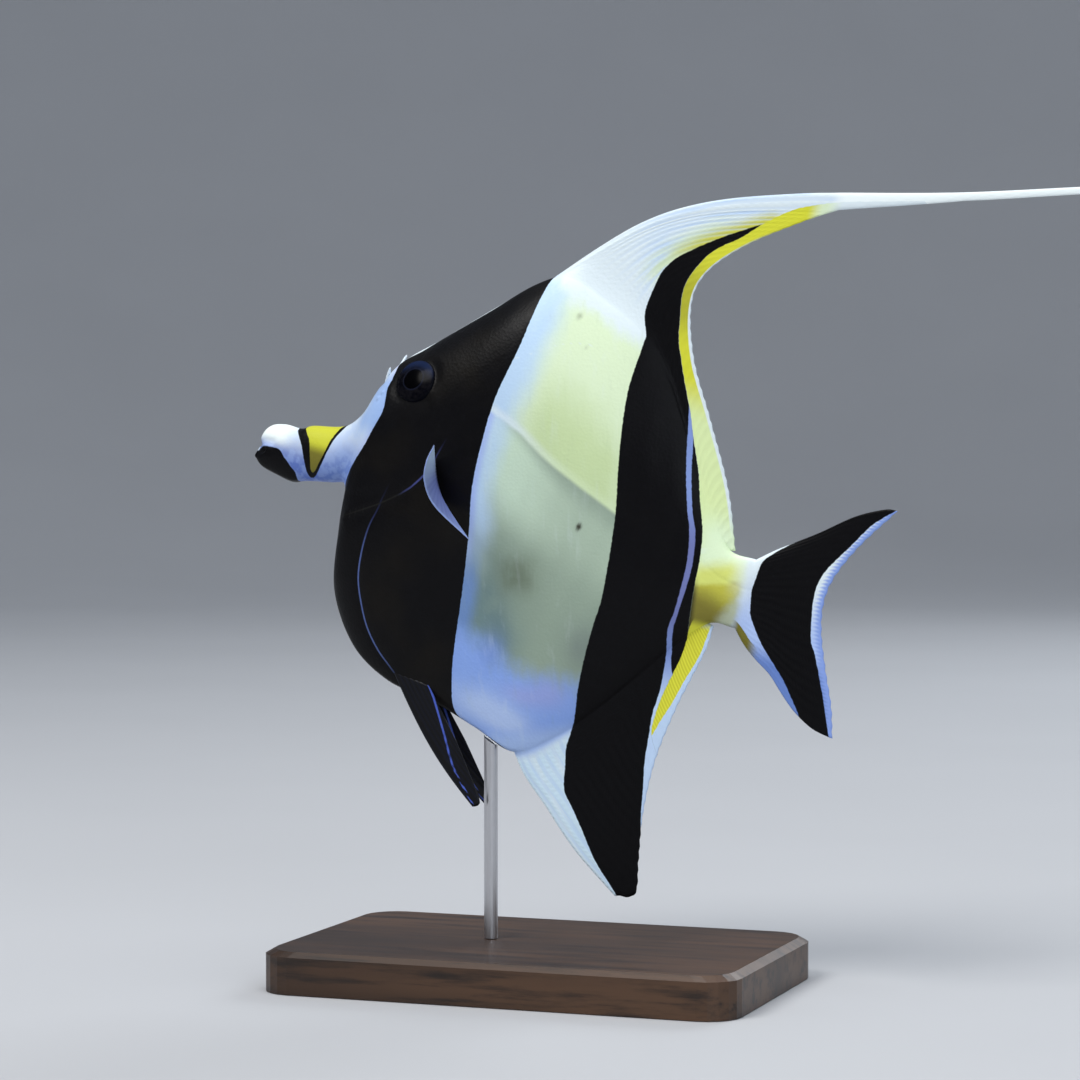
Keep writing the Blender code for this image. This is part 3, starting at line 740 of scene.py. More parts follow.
def whole_skin(skin):
    """Mirrors the half skin and closes it along the middle plane.

    Gives points, quads, the side of each quad and the half-skin vertex behind each point.
    """
    quads = np.vstack(skin.quads)
    count = len(skin.points)
    edges = quad_edges(quads)
    codes = edges[:, 0].astype(np.int64) * count + edges[:, 1]
    opposite = edges[:, 1].astype(np.int64) * count + edges[:, 0]
    border = edges[~np.isin(codes, opposite)]
    flat = skin.points[:, :2]
    run = flat[border[:, 1]] - flat[border[:, 0]]
    size = np.maximum(np.linalg.norm(run, axis=1, keepdims=True), 1e-9)
    outside = np.stack([run[:, 1], -run[:, 0]], axis=1) / size
    lean = np.zeros((count, 2))
    np.add.at(lean, border[:, 0], outside)
    np.add.at(lean, border[:, 1], outside)
    rim = np.unique(border)
    lean = lean[rim] / np.maximum(np.linalg.norm(lean[rim], axis=1, keepdims=True), 1e-9)
    forehead = smooth_step(flat[rim, 0], *FOREHEAD_ON) * (flat[rim, 1] > 0.1)
    forehead = forehead * (1 - smooth_step(flat[rim, 0], *FOREHEAD_OFF[::-1]))
    bulge = np.where(skin.traits["outward"][rim] > 0, 0.8, 0.2 + 0.8 * forehead)[:, None]
    middle = flat[rim] + lean * np.minimum(skin.points[rim, 2:3] * bulge,
                                           (0.35 + 0.40 * forehead[:, None]) * MM)
    number = np.zeros(count, int)
    number[rim] = 2 * count + np.arange(len(rim))
    left = skin.points * np.array([1, 1, -1])
    points = np.vstack([left, skin.points, np.column_stack([middle, np.zeros(len(rim))])])
    a, b = border[:, 0], border[:, 1]
    left_rim = np.stack([b, a, number[a], number[b]], axis=1)
    right_rim = np.stack([a + count, b + count, number[b], number[a]], axis=1)
    faces = np.vstack([quads, left_rim, quads[:, ::-1] + count, right_rim])
    halves = len(quads) + len(border)
    sides = np.repeat([-1, 1], [halves, halves])
    source = np.concatenate([np.arange(count), np.arange(count), rim])
    return points, faces, sides, source


def fan_shell(root, margin, side, columns, steps, thickness, ribs, bow):
    """Closed shell of a paired fin: grids of its two faces, and its traits."""
    outer = even_curve(margin, columns)
    inner = even_curve(root, columns)
    outward = np.linspace(0, 1, steps)
    swell = (np.sin(math.pi * outward) * bow)[:, None] * np.array([0.0, -1.0, 0.0])
    leading = inner[0] + outward[:, None] * (outer[0] - inner[0]) + swell
    trailing = inner[-1] + outward[:, None] * (outer[-1] - inner[-1])
    grid = coons(inner, outer, leading, trailing, outward)
    ray = np.broadcast_to(np.arange(columns)[:, None] * ribs / (columns - 1), grid.shape[:2])
    normal = np.cross(np.gradient(grid, axis=0), np.gradient(grid, axis=1))
    normal /= np.linalg.norm(normal, axis=2, keepdims=True)
    rib = (0.1 + 0.5 * np.cos(2 * math.pi * ray)) * (1 - 0.5 * outward)
    half = (thickness * (1.9 - 1.25 * outward) + 0.10 * rib) * MM
    half = np.maximum(half, 0.09 * MM)
    half[:, -1] *= 0.5
    half[[0, -1]] *= 0.6
    faces = [grid + sign * normal * half[..., None] for sign in (-1, 1)]
    for face in faces:
        face[..., 2] *= -side
    return faces, ray, np.broadcast_to(outward, ray.shape)


FLESH, PECTORAL, PELVIC = 0, 1, 2
# Mesh and build of each kind of paired fin, with its thickness in mm
FANS = {
    PECTORAL: {"columns": 57, "steps": 30, "thickness": 0.17, "ribs": 14, "bow": 0.0},
    PELVIC: {"columns": 25, "steps": 26, "thickness": 0.20, "ribs": 6,
             "bow": PELVIC_LEADING_EDGE_BOW},
}

# Places and scales on the skin's map, in shares of it, and the places (s, h) of the fish
# at the lower front corners of the flank's part and the streamer's
MAP_SCALE = 0.385
MAP_EDGE = 0.008
MAP_FLANK = (-0.03, -0.62)
MAP_STREAMER = (0.97, 0.70)
MAP_STREAMER_HEIGHT = 0.57
FAN_MAP_SIZE = 0.105
FAN_MAP_FIRST = (0.02, 0.70)
FAN_MAP_STEP = 0.242
FAN_BACK_STEP = 0.13


class Skin:
    """All vertices of the fish's skin, with named numbers for each, and its quads."""

    def __init__(self):
        self.points = np.zeros((0, 3))
        self.traits = {}
        self.faces = np.zeros((0, 4), int)
        self.kinds = np.zeros(0, int)
        self.maps = np.zeros((0, 4, 2))

    def add(self, points, faces, kind, maps, **traits):
        first = len(self.points)
        for name in {**self.traits, **traits}:
            old = self.traits.get(name, np.zeros(first))
            new = np.broadcast_to(traits.get(name, 0.0), len(points))
            self.traits[name] = np.concatenate([old, new])
        self.points = np.vstack([self.points, points])
        self.faces = np.vstack([self.faces, faces + first])
        self.kinds = np.concatenate([self.kinds, np.full(len(faces), kind)])
        self.maps = np.vstack([self.maps, maps])


def flank_map(points, faces, sides, outward):
    """Map of the body and median fins, one side beside the other, streamers above."""
    s, h = points[faces][..., 0], points[faces][..., 1]
    streamer = (outward[faces].min(axis=1) >= 1.0)[:, None]
    first_s, first_h = np.where(streamer, MAP_STREAMER, MAP_FLANK).T[..., None]
    u = MAP_EDGE + (s - first_s) * MAP_SCALE + 0.5 * (sides[:, None] > 0)
    v = np.where(streamer, MAP_STREAMER_HEIGHT, MAP_EDGE) + (h - first_h) * MAP_SCALE
    return np.stack([u, v], axis=-1)


def flank_traits(s, h):
    """Distances in mm of the marks of the flank, and how far its lines reach."""
    made = {name: inside_distance(s, h, closed_outline(parts)) for name, parts in MARKS.items()}
    made["dorsal_rim"] = np.clip(np.abs(made["dorsal_rim"]), 0, 30)
    for name, points, reach, fade in (("ridge", FLANK_RIDGE, 60, None),
                                      ("chest", CHEST_ARC, 20, 0.3),
                                      ("gill", GILL_EDGE, 20, 0.5)):
        gap, side, share = line_distance(s, h, points)
        made[name] = np.clip(gap * side, -reach, reach)
        if fade:
            made[f"{name}_along"] = within(share, fade)
    made["lateral"], side, share = line_distance(s, h, LATERAL_LINE, 90)
    made["lateral_along"] = within(share, 0.05)
    made["lip_glint"] = bell(gap_to(s, h, LIP_GLINT, 0.75), 0.75)
    made["spots"] = sum(bell(gap_to(s, h, place, 1.25), size) * strength
                        for *place, size, strength in SPOTS)
    return made


# Soft tints of the flank, among them painted shade by the rear bar and painted cool blue light low
# on the flank: places (s, h) with the reach along and across it in mm
TINTS = {
    "slate": [(0.530, -0.145, 8.0, 13.0), (0.565, -0.205, 8.0, 8.0)],
    "olive_spot": [(0.606, -0.067, 4.0, 5.0), (0.570, -0.075, 3.0, 5.0)],
    "ice_spot": [(0.560, -0.330, 10.0, 5.0), (0.620, -0.345, 7.0, 3.5)],
    "lavender": [(0.690, -0.270, 5.0, 4.0), (0.640, -0.290, 6.0, 3.0)],
    "deep_spot": [(0.690, -0.352, 9.0, 3.0), (0.565, -0.225, 4.0, 5.0)],
    "pale_spot": [(0.640, 0.395, 9.0, 7.0), (0.690, 0.340, 7.0, 7.0)],
    "painted_bar_shade": [(0.734, -0.169, 5.0, 7.0)],
}


def tint_traits(s, h):
    """Strengths of the flank's tints, smooth over the whole side, and distances from the lines that
    bound painted light and shade.
    """
    made = {}
    for name, places in TINTS.items():
        made[name] = np.clip(sum(bell(np.hypot((s - x) / along, (h - y) / across) / MM, 1.0)
                                 for x, y, along, across in places), 0, 1)
    made["low"] = (-h - 0.36 * np.clip(s - 0.50, 0, 0.12) + 0.06 * (s - 0.62) - 0.196) / MM
    made["high"] = (h + 0.42 * (s - 0.6) - 0.430) / MM
    made["gold_in_shade"] = (0.013 + 0.26 * (s - 0.96) - h) / MM
    made["gold_in_shade_end"] = (0.886 * (s - 0.957) - 0.463 * (h + 0.056)) / MM
    made["to_fin"] = (-h - 0.340 - 0.42 * (0.72 - s)) / MM
    return made


def build_skin():
    half = build_half()
    points, faces, sides, source = whole_skin(half)
    s, h = half.points[:, 0], half.points[:, 1]
    traits = {**half.traits, **flank_traits(s, h), **tint_traits(s, h)}
    traits = {name: values[source] for name, values in traits.items()}
    traits["spots"] *= points[:, 2] < 0
    traits["s"], traits["h"] = points[:, 0], points[:, 1]
    traits["beside"] = np.abs(points[:, 2]) / MM
    skin = Skin()
    skin.add(points, faces, FLESH, flank_map(points, faces, sides, traits["outward"]), **traits)
    pectoral_root = [(s, h, 1.2 * MM - flank(s, h)) for s, h in PECTORAL_ROOT]
    pelvic_root = [(s, h + 3.0 * MM, -PELVIC_ROOT_SIDE) for s, h in PELVIC_ROOT]
    fans = [(side, kind, *shape) for side in (-1, 1) for kind,
            *shape in ((PECTORAL, pectoral_root, PECTORAL_MARGIN),
                       (PELVIC, pelvic_root, PELVIC_MARGIN))]
    for number, fan in enumerate(fans):
        add_fan(skin, number, *fan)
    return skin


def add_fan(skin, number, side, kind, root, margin):
    """Adds a paired fin of one side as a closed shell with its own place on the map."""
    grids, ray, outward = fan_shell(root, margin, side, **FANS[kind])
    count = ray.size
    numbers = np.arange(count).reshape(ray.shape)
    a, b = numbers[:-1, :-1], numbers[1:, :-1]
    c, d = numbers[1:, 1:], numbers[:-1, 1:]
    first = np.stack([a, b, c, d], axis=-1).reshape(-1, 4)
    second = first[:, ::-1] + count
    border = np.concatenate([numbers[:-1, 0], numbers[-1, :-1], numbers[:0:-1, -1],
                             numbers[0, :0:-1]])
    after = np.roll(border, -1)
    strip = np.stack([after, border, border + count, after + count], axis=1)
    faces = np.vstack([first, second, strip])
    if side < 0:
        faces = faces[:, ::-1]
    across = np.tile((ray / FANS[kind]["ribs"]).ravel(), 2)
    out = np.tile(outward.ravel(), 2)
    maps = np.stack([across[faces], out[faces]], axis=-1) * FAN_MAP_SIZE + FAN_MAP_FIRST
    maps[..., 0] += FAN_MAP_STEP * number
    maps[(faces >= count).all(axis=1), :, 1] += FAN_BACK_STEP
    points = np.vstack([grid.reshape(-1, 3) for grid in grids])
    line = line_distance(points[:, 0], points[:, 1], PELVIC_PALE_LINE)[0]
    skin.add(points, faces, kind, maps, ray=np.tile(ray.ravel(), 2), outward=out,
             across=across, s=points[:, 0], h=points[:, 1], pelvic_line=line)


class Graph:
    """Short ways to add shader nodes to one material.

    A value may be a number, a node's output or the name of a vertex trait.
    """

    def __init__(self, name, roughness, **sockets):
        self.material = bpy.data.materials.new(name)
        self.material.use_nodes = True
        self.tree = self.material.node_tree
        self.shader = self.tree.nodes["Principled BSDF"]
        self.shader.inputs["Roughness"].default_value = roughness
        for socket, value in sockets.items():
            self.shader.inputs[socket.replace("_", " ")].default_value = value

    def node(self, kind, **settings):
        made = self.tree.nodes.new("ShaderNode" + kind)
        for name, value in settings.items():
            setattr(made, name, value)
        return made

    def fill(self, made, **sockets):
        """Sets or links a node's inputs by their names and gives back its first output."""
        for name, value in sockets.items():
            self.link(value, made.inputs[name.replace("_", " ")])
        return made.outputs[0]

    def link(self, value, socket):
        if isinstance(value, str):
            value = self.trait(value)
        if isinstance(value, bpy.types.NodeSocket):
            self.tree.links.new(value, socket)
        else:
            socket.default_value = value

    def trait(self, name):
        return self.node("Attribute", attribute_name=name).outputs["Fac"]

    def math(self, operation, *values):
        made = self.node("Math", operation=operation)
        for value, socket in zip(values, made.inputs):
            self.link(value, socket)
        return made.outputs[0]

    def plus(self, a, b):
        return self.math("ADD", a, b)

    def minus(self, a, b):
        return self.math("SUBTRACT", a, b)

    def times(self, first, *others):
        for other in others:
            first = self.math("MULTIPLY", first, other)
        return first

    def wave(self, value, rate):
        return self.math("COSINE", self.times(value, rate))

    def size(self, value):
        return self.math("ABSOLUTE", value)

    def step(self, value, low, high):
        """0 at low and 1 at high, with a smooth change between."""
        made = self.node("MapRange", interpolation_type="SMOOTHSTEP")
        ends = (1.0, 0.0) if high < low else (0.0, 1.0)
        return self.fill(made, Value=value, From_Min=min(low, high), From_Max=max(low, high),
                         To_Min=ends[0], To_Max=ends[1])

    def blend(self, factor, a, b):
        """Colour a turned towards b by a factor, or by the product of several factors."""
        made = self.node("Mix", data_type="RGBA")
        self.link(self.times(*factor) if isinstance(factor, tuple) else factor,
                  made.inputs["Factor"])
        for value, socket in ((a, made.inputs[6]), (b, made.inputs[7])):
            self.link((*value, 1.0) if isinstance(value, tuple) else value, socket)
        return made.outputs[2]

    def place(self):
        return self.node("TexCoord").outputs["Object"]

    def noise(self, scale, detail=2.0, roughness=0.5, place=None):
        return self.fill(self.node("TexNoise"), Scale=scale, Detail=detail,
                         Roughness=roughness, Vector=place or self.place())

    def cells(self, scale):
        return self.fill(self.node("TexVoronoi"), Scale=scale, Vector=self.place())

    def stretched(self, *scale):
        """Object places scaled along each axis, for marks drawn out along one."""
        return self.fill(self.node("Mapping"), Scale=scale, Vector=self.place())

    def bump(self, height, distance, strength, after=None):
        made = self.node("Bump")
        if after is not None:
            self.link(after, made.inputs["Normal"])
        return self.fill(made, Distance=distance, Strength=strength, Height=height)

    def finish(self, colour, normal=None, roughness=None):
        for value, socket in ((colour, "Base Color"), (normal, "Normal"),
                              (roughness, "Roughness")):
            if value is not None:
                self.link(value, self.shader.inputs[socket])
        return self.material


# One wave for each ray, and the colours that more than one mark takes
RAY_TURN = 2 * math.pi
BLACK = (0.0026, 0.0025, 0.0033)
WARM_BLACK = (0.0062, 0.0052, 0.0042)
BLUE_BLACK = (0.0030, 0.0045, 0.0150)
# Painted cool blue light and shade of the lower flank
MID_BLUE = (0.28, 0.44, 0.90)
DEEP_BLUE = (0.22, 0.35, 0.82)
LAVENDER = (0.39, 0.43, 0.80)
WHITE = (0.78, 0.88, 0.92)
ICE = (0.54, 0.72, 0.92)
PALE_YELLOW = (0.76, 0.90, 0.62)
SOFT_YELLOW = (0.63, 0.77, 0.42)
LEMON = (0.71, 0.72, 0.05)
GOLD = (0.60, 0.60, 0.090)
OLIVE = (0.19, 0.17, 0.028)
# Grey green for the painted shade under the flank's ridge and for faint dark streaks
SHADE_AND_STREAK_GREEN = (0.33, 0.42, 0.33)
SLATE = (0.18, 0.27, 0.27)
DARK_OLIVE = (0.19, 0.24, 0.17)


def flank_base(g):
    """Pale ground of the flank: yellow above its ridge, with painted highlights along the ridge and
    along the top; below it painted grey green shade, and painted cool blue light and shade on the
    white towards the belly.
    """
    mottle = g.minus(g.noise(95.0, 4.0), 0.5)
    streak = g.minus(g.noise(330.0, 3.0, 0.6, g.stretched(1.0, 1.0, 0.16)), 0.5)
    drift = g.plus(g.times(mottle, 9.0), g.times(streak, 6.0))
    soft = g.times(drift, 0.4)
    behind = g.minus(soft, "face")
    ridge = g.trait("ridge")
    front = g.step("s", 0.68, 0.50)
    h = g.trait("h")

    above = g.blend(g.step(behind, 2.5, 13.0), ICE, PALE_YELLOW)
    core = g.times(g.step(g.plus(ridge, drift), 27.0, 8.0), g.step(behind, 6.0, 18.0))
    above = g.blend(core, above, SOFT_YELLOW)
    above = g.blend(("pale_spot", 0.6), above, PALE_YELLOW)
    # Painted highlight in a narrow strip just above the ridge, whiter towards the front
    crown = g.times(g.step(ridge, 3.2, 0.8), g.plus(0.30, g.times(front, 0.35)))
    above = g.blend(crown, above, g.blend(front, PALE_YELLOW, WHITE))
    edge = g.step(g.plus("rear_bar", soft), -4.0, -0.5)
    above = g.blend((edge, 0.35), above, PALE_YELLOW)
    # Painted highlight: white along the top of the band towards the dorsal fin's base
    above = g.blend(g.step(g.plus("high", drift), -4.0, 3.0), above, WHITE)

    low = g.plus("low", drift)
    lifted = g.minus(ridge, g.times(front, 4.0))
    # Painted shade: grey green right under the ridge's crease, lighter further down
    below = g.blend((g.step(lifted, -0.5, -7.0), g.step(ridge, -26.0, -12.0)),
                    SHADE_AND_STREAK_GREEN, g.blend(front, (0.43, 0.54, 0.42), (0.62, 0.78, 0.60)))
    below = g.blend(("slate", g.step(mottle, -0.45, -0.02)), below, SLATE)
    below = g.blend(("olive_spot", g.step(drift, -4.5, 1.5)), below, DARK_OLIVE)
    # Painted shade beside the front edge of the rear bar
    below = g.blend(("painted_bar_shade", 0.5), below, (0.16, 0.19, 0.20))
    upper = g.step(h, -0.12, 0.01)
    # Painted cool blue light and shade on the white of the lower flank, by the face and towards the
    # belly and the anal fin
    below = g.blend((g.step(behind, 9.5, 2.5), upper, 0.85), below, ICE)
    below = g.blend((g.step(behind, 6.5, 1.5), g.step(h, 0.0, -0.12), 0.9), below,
                    (0.16, 0.28, 0.58))
    below = g.blend(g.step(low, -5.0, 6.0), below, MID_BLUE)
    below = g.blend(("lavender", 0.6), below, LAVENDER)
    below = g.blend(("deep_spot", 0.6), below, DEEP_BLUE)
    below = g.blend(("ice_spot", 0.9), below, (0.50, 0.64, 0.95))
    below = g.blend((g.step("face", -2.8, -0.4), upper, 0.65), below, (0.38, 0.49, 0.92))
    below = g.blend((g.step("to_fin", -4.5, 1.5), 0.8), below, (0.46, 0.62, 0.95))
    colour = g.blend(g.step(g.plus(ridge, g.times(drift, front, 0.10)), -0.7, 0.7), below, above)
    colour = g.blend((g.step(streak, 0.05, 0.30), 0.16), colour, WHITE)
    return g.blend((g.step(streak, -0.05, -0.30), 0.12), colour, SHADE_AND_STREAK_GREEN)


def skin_material():
    """Body and median fins: every mark cut from its own smooth distance."""
    g = Graph("skin", 0.40, Coat_Weight=0.015, Coat_Roughness=0.2, Specular_IOR_Level=0.10)
    wander = g.times(g.minus(g.noise(900.0, 2.0), 0.5), 0.35)

    def mark(name, low=-0.12, high=0.12):
        return g.step(g.plus(g.trait(name), wander), low, high)

    def clear_of(factor):
        return g.minus(1.0, factor)

    s, h = g.trait("s"), g.trait("h")
    fin = g.step("outward", 0.0, 0.08)
    far_fin = g.step("outward", 0.02, 0.45)
    ray = g.wave("ray", RAY_TURN)
    before_face = g.step(s, 0.33, 0.27)
    colour = flank_base(g)

    # Fins of the middle line, white and streaked along their rays
    along = g.fill(g.node("CombineXYZ"), X=g.times("ray", 0.8), Y=g.times("outward", 2.2))
    streaks = g.step(g.noise(1.0, 3.0, 0.6, along), 0.42, 0.66)
    blue_part = g.step(s, 0.56, 0.72)
    fin_white = g.blend((streaks, blue_part, far_fin, 0.75), WHITE, (0.50, 0.68, 0.94))
    fin_white = g.blend((g.step(ray, 0.2, -0.9), far_fin, 0.30), fin_white, (0.50, 0.66, 0.92))
    fin_white = g.blend(g.step("outward", 0.97, 1.02), fin_white, (0.92, 1.00, 1.00))
    colour = g.blend(fin, colour, fin_white)
    low_white = g.blend((g.step(ray, 0.4, -0.8), 0.25), (0.66, 0.84, 0.97), (0.40, 0.56, 0.92))
    low_white = g.blend((streaks, 0.6), low_white, WHITE)
    colour = g.blend((fin, g.step(h, -0.20, -0.34)), colour, low_white)
    beside_bar = g.times(g.step(h, 0.52, 0.57), g.step(s, 0.66, 0.72))
    gold = g.times(mark("rear_bar", -4.2, -0.4), beside_bar, g.step(h, 0.535, 0.60),
                   g.step(ray, -2.6, 0.4))
    pale = g.times(mark("rear_bar", -7.5, -1.0), g.step(h, 0.48, 0.54), g.step(s, 0.84, 0.76),
                   g.step(streaks, 1.3, 0.0))
    colour = g.blend((pale, 0.75), colour, SOFT_YELLOW)
    colour = g.blend(gold, colour, GOLD)

    # Blaze, from the lips to the black of the face
    # Painted shade: blue on the lower part of the snout and darker blue behind its bulb
    blaze = g.blend(g.step(h, 0.080, 0.005), WHITE, (0.12, 0.19, 0.52))
    low_snout = g.times(g.step(s, 0.12, 0.20), g.step(h, 0.14, 0.03))
    blaze = g.blend((low_snout, 0.85), blaze, (0.16, 0.26, 0.62))
    by_face = g.times(g.step("face", -2.4, -0.2), g.step(h, 0.05, 0.12))
    blaze = g.blend((by_face, 0.5), blaze, LAVENDER)
    blotches = g.step(g.noise(420.0, 3.0), 0.42, 0.60)
    blaze = g.blend((blotches, 0.28), blaze, (0.42, 0.56, 0.86))
    high_blue = g.times(g.step(h, 0.075, 0.130), g.step(h, 0.240, 0.195),
                        g.step("face", -11.0, -4.0), 0.9)
    blaze = g.blend(high_blue, blaze, (0.29, 0.44, 0.76))
    lips = g.times(g.step(s, 0.085, 0.045), g.step(h, 0.025, 0.05))
    blaze = g.blend(lips, blaze, (0.90, 0.98, 0.95))
    colour = g.blend(before_face, colour, blaze)
    colour = g.blend((before_face, mark("ring")), colour, BLACK)
    saddle = g.blend(g.step(h, 0.060, 0.035), (0.58, 0.59, 0.045), OLIVE)
    colour = g.blend((before_face, mark("saddle")), colour, saddle)
    colour = g.blend((before_face, mark("jaw")), colour, BLACK)
    # Painted glint at the lips, pale grey blue on the black
    colour = g.blend((before_face, g.step("lip_glint", 0.35, 0.65)), colour, (0.50, 0.60, 0.72))

    # Yellow and white behind the rear bar
    rear = g.blend(g.step(h, 0.27, 0.36), (0.76, 0.90, 0.46), LEMON)
    dark = g.times(g.step(h, 0.40, 0.47), g.step(h, 0.58, 0.50), 0.45)
    rear = g.blend(dark, rear, OLIVE)
    rear = g.blend(g.step(s, 0.935, 0.965), rear, PALE_YELLOW)
    rear = g.blend(g.step(s, 0.965, 1.000), rear, WHITE)
    rim_width = g.plus(0.18, g.times(g.step(h, 0.56, 0.38), 0.60))
    rim = g.step(g.minus("dorsal_rim", rim_width), 0.18, -0.18)
    rear = g.blend((rim, g.step(h, 0.66, 0.56)), rear, WHITE)
    # Tail stalk: pale yellow above its line, and gold below it that painted shade darkens to olive,
    # most low at the front
    depth = g.plus("gold_in_shade", g.times(g.noise(150.0, 3.0), 3.0))
    stalk = g.blend(g.step(depth, -6.0, -1.0), (0.78, 0.94, 0.64), (0.72, 0.78, 0.20))
    gold_in_shade = g.blend(g.step(g.plus(depth, g.times(s, -90.0)), -83.0, -75.0),
                   (0.56, 0.54, 0.075), (0.25, 0.22, 0.040))
    stalk = g.blend(g.step(depth, 0.8, 2.6), stalk, gold_in_shade)
    wander_end = g.plus("gold_in_shade_end", g.times(g.noise(260.0, 3.0), 3.0))
    stalk = g.blend((g.step(wander_end, 0.0, 3.4), 0.9), stalk, (0.50, 0.56, 0.42))
    pale_end = g.blend(g.step(h, 0.01, -0.05), WHITE, (0.50, 0.62, 0.90))
    # Painted highlight along the top of the stalk's rear
    stalk = g.blend((g.step(s, 0.955, 1.0), g.step(depth, 8.0, -2.0)), stalk, (0.80, 0.92, 0.84))
    stalk = g.blend(g.step(g.plus(s, g.times(g.noise(300.0), 0.02)), 0.990, 1.012), stalk, pale_end)
    # Painted shade: a dark line along the stalk's underside
    stalk = g.blend((g.step(h, -0.060, -0.072), g.step(s, 0.93, 0.96)), stalk, (0.10, 0.10, 0.045))
    on_stalk = g.times(g.step(s, 0.86, 0.92), g.step(h, 0.15, 0.085))
    rear = g.blend(on_stalk, rear, stalk)
    brown = g.times(g.step("yellow", 1.6, 0.0), g.step(h, 0.02, -0.03))
    rear = g.blend((brown, 0.85), rear, (0.045, 0.038, 0.014))
    below = g.times(g.step(h, -0.055, -0.085), fin, g.step(s, 1.0, 0.97))
    rear = g.blend(below, rear, (0.56, 0.72, 0.95))
    # Tail fin white darkening to blue low down: painted shade and cool blue light
    tail_white = g.blend(g.step(h, 0.06, -0.06), WHITE, (0.46, 0.60, 0.94))
    tail_white = g.blend(g.step(h, -0.065, -0.115), tail_white, (0.15, 0.25, 0.60))
    thin_rays = g.wave("ray", 3 * RAY_TURN)
    fringe = g.plus("outward", g.times(thin_rays, 0.014))
    tail_white = g.blend(g.step(fringe, 0.915, 0.985), tail_white, (0.26, 0.38, 0.80))
    rear = g.blend((g.step(s, 0.985, 1.01), g.step(h, 0.35, 0.30)), rear, tail_white)
    colour = g.blend(mark("yellow"), colour, rear)
    fine = g.step(thin_rays, -1.0, 1.0)
    colour = g.blend((mark("anal_yellow"), g.step(h, -0.062, -0.084)), colour,
                     g.blend(fine, (0.66, 0.64, 0.045), (0.80, 0.80, 0.065)))

    # Black bars
    in_bar = g.times(mark("rear_bar"), clear_of(mark("yellow")))
    colour = g.blend(in_bar, colour, BLACK)
    in_line = g.times(mark("line_front"), clear_of(mark("line_rear")), clear_of(mark("yellow")))
    line = g.blend((g.step(h, 0.16, 0.06), g.step(h, -0.13, -0.07)),
                   (0.24, 0.34, 0.71), (0.18, 0.21, 0.47))
    line = g.blend(g.step(h, -0.14, -0.24), line, (0.56, 0.72, 0.96))
    colour = g.blend(in_line, colour, line)
    face = g.blend(g.step(g.noise(45.0, 3.0), 0.45, 0.75), BLACK, WARM_BLACK)
    colour = g.blend(mark("face"), colour, face)
    colour = g.blend(mark("tail_black"), colour, BLACK)
    olive_edge = g.times(mark("tail_olive"), g.step(s, 0.985, 1.0), g.step(s, 1.050, 1.020))
    colour = g.blend(olive_edge, colour, OLIVE)

    # Fine lines of the head, lateral line and spots
    chest = g.times(g.step(g.size("chest"), 0.34, 0.12), "chest_along")
    chest_colour = g.blend(g.step(h, -0.03, -0.14), (0.020, 0.026, 0.08), (0.10, 0.15, 0.38))
    colour = g.blend((chest, 0.85), colour, chest_colour)
    gill = g.times(g.step(g.size("gill"), 0.34, 0.08), "gill_along")
    gill_colour = g.blend(g.step(s, 0.325, 0.365), (0.014, 0.014, 0.012), (0.10, 0.12, 0.38))
    colour = g.blend((gill, 0.8), colour, gill_colour)
    # Painted highlight: a thin white line along the forehead's top edge
    crest_highlight = g.times(g.step("edge", 2.4, 1.9), g.step("beside", 2.5, 1.9), g.step(s, *FOREHEAD_ON),
                    g.step(s, *FOREHEAD_OFF), g.step("outward", 0.02, 0.0), g.step(h, 0.15, 0.2))
    colour = g.blend(crest_highlight, colour, WHITE)
    lateral = g.times(g.step("lateral", 0.42, 0.14), "lateral_along", clear_of(mark("face")), 0.35)
    colour = g.blend((lateral, clear_of(in_bar), g.step(s, 0.70, 0.62)), colour, WHITE)
    colour = g.blend(g.step("spots", 0.10, 0.85), colour, (0.055, 0.055, 0.040))

    scales = g.cells(1150.0)
    grain = g.noise(3200.0, 2.0)
    height = g.plus(g.times(scales, 0.7), g.times(grain, 0.3))
    height = g.times(height, g.step("outward", 0.5, 0.0))
    normal = g.bump(height, 0.00012, 0.50)
    joints = g.times(g.wave("outward", 190.0), g.times(g.step(ray, 0.0, 0.8), fin))
    normal = g.bump(joints, 0.00005, 0.4, normal)
    gloss = g.plus(0.32, g.times(g.noise(260.0, 3.0), 0.18))
    return g.finish(colour, normal, gloss)


def pectoral_material():
    g = Graph("pectoral_fin", 0.40, Specular_IOR_Level=0.25)
    ray = g.step(g.wave("ray", RAY_TURN), -0.6, 0.8)
    across = g.trait("across")
    colour = g.blend(g.step(across, 0.05, 0.45), (0.56, 0.68, 0.92), (0.19, 0.23, 0.56))
    colour = g.blend(g.step(across, 0.75, 1.0), colour, (0.24, 0.31, 0.70))
    colour = g.blend((ray, 0.15), colour, (0.45, 0.56, 0.90))
    colour = g.blend(g.step("outward", 0.90, 0.98), colour, (0.36, 0.46, 0.85))
    colour = g.blend(g.step("outward", 0.16, 0.0), colour, BLACK)
    joints = g.wave("outward", 150.0)
    normal = g.bump(g.times(joints, ray), 0.00004, 0.5)
    return g.finish(colour, normal)


def pelvic_material():
    g = Graph("pelvic_fin", 0.40, Specular_IOR_Level=0.24)
    ray = g.step(g.wave("ray", RAY_TURN), -0.6, 0.8)
    colour = g.blend((ray, 0.5), BLACK, BLUE_BLACK)
    line = g.step("pelvic_line", 0.42, 0.16)
    colour = g.blend(line, colour, (0.07, 0.12, 0.52))
    return g.finish(colour, g.bump(g.noise(2500.0), 0.00003, 0.5))


def show(name, data):
    """Puts new data into the scene as an object."""
    made = bpy.data.objects.new(name, data)
    bpy.context.scene.collection.objects.link(made)
    return made


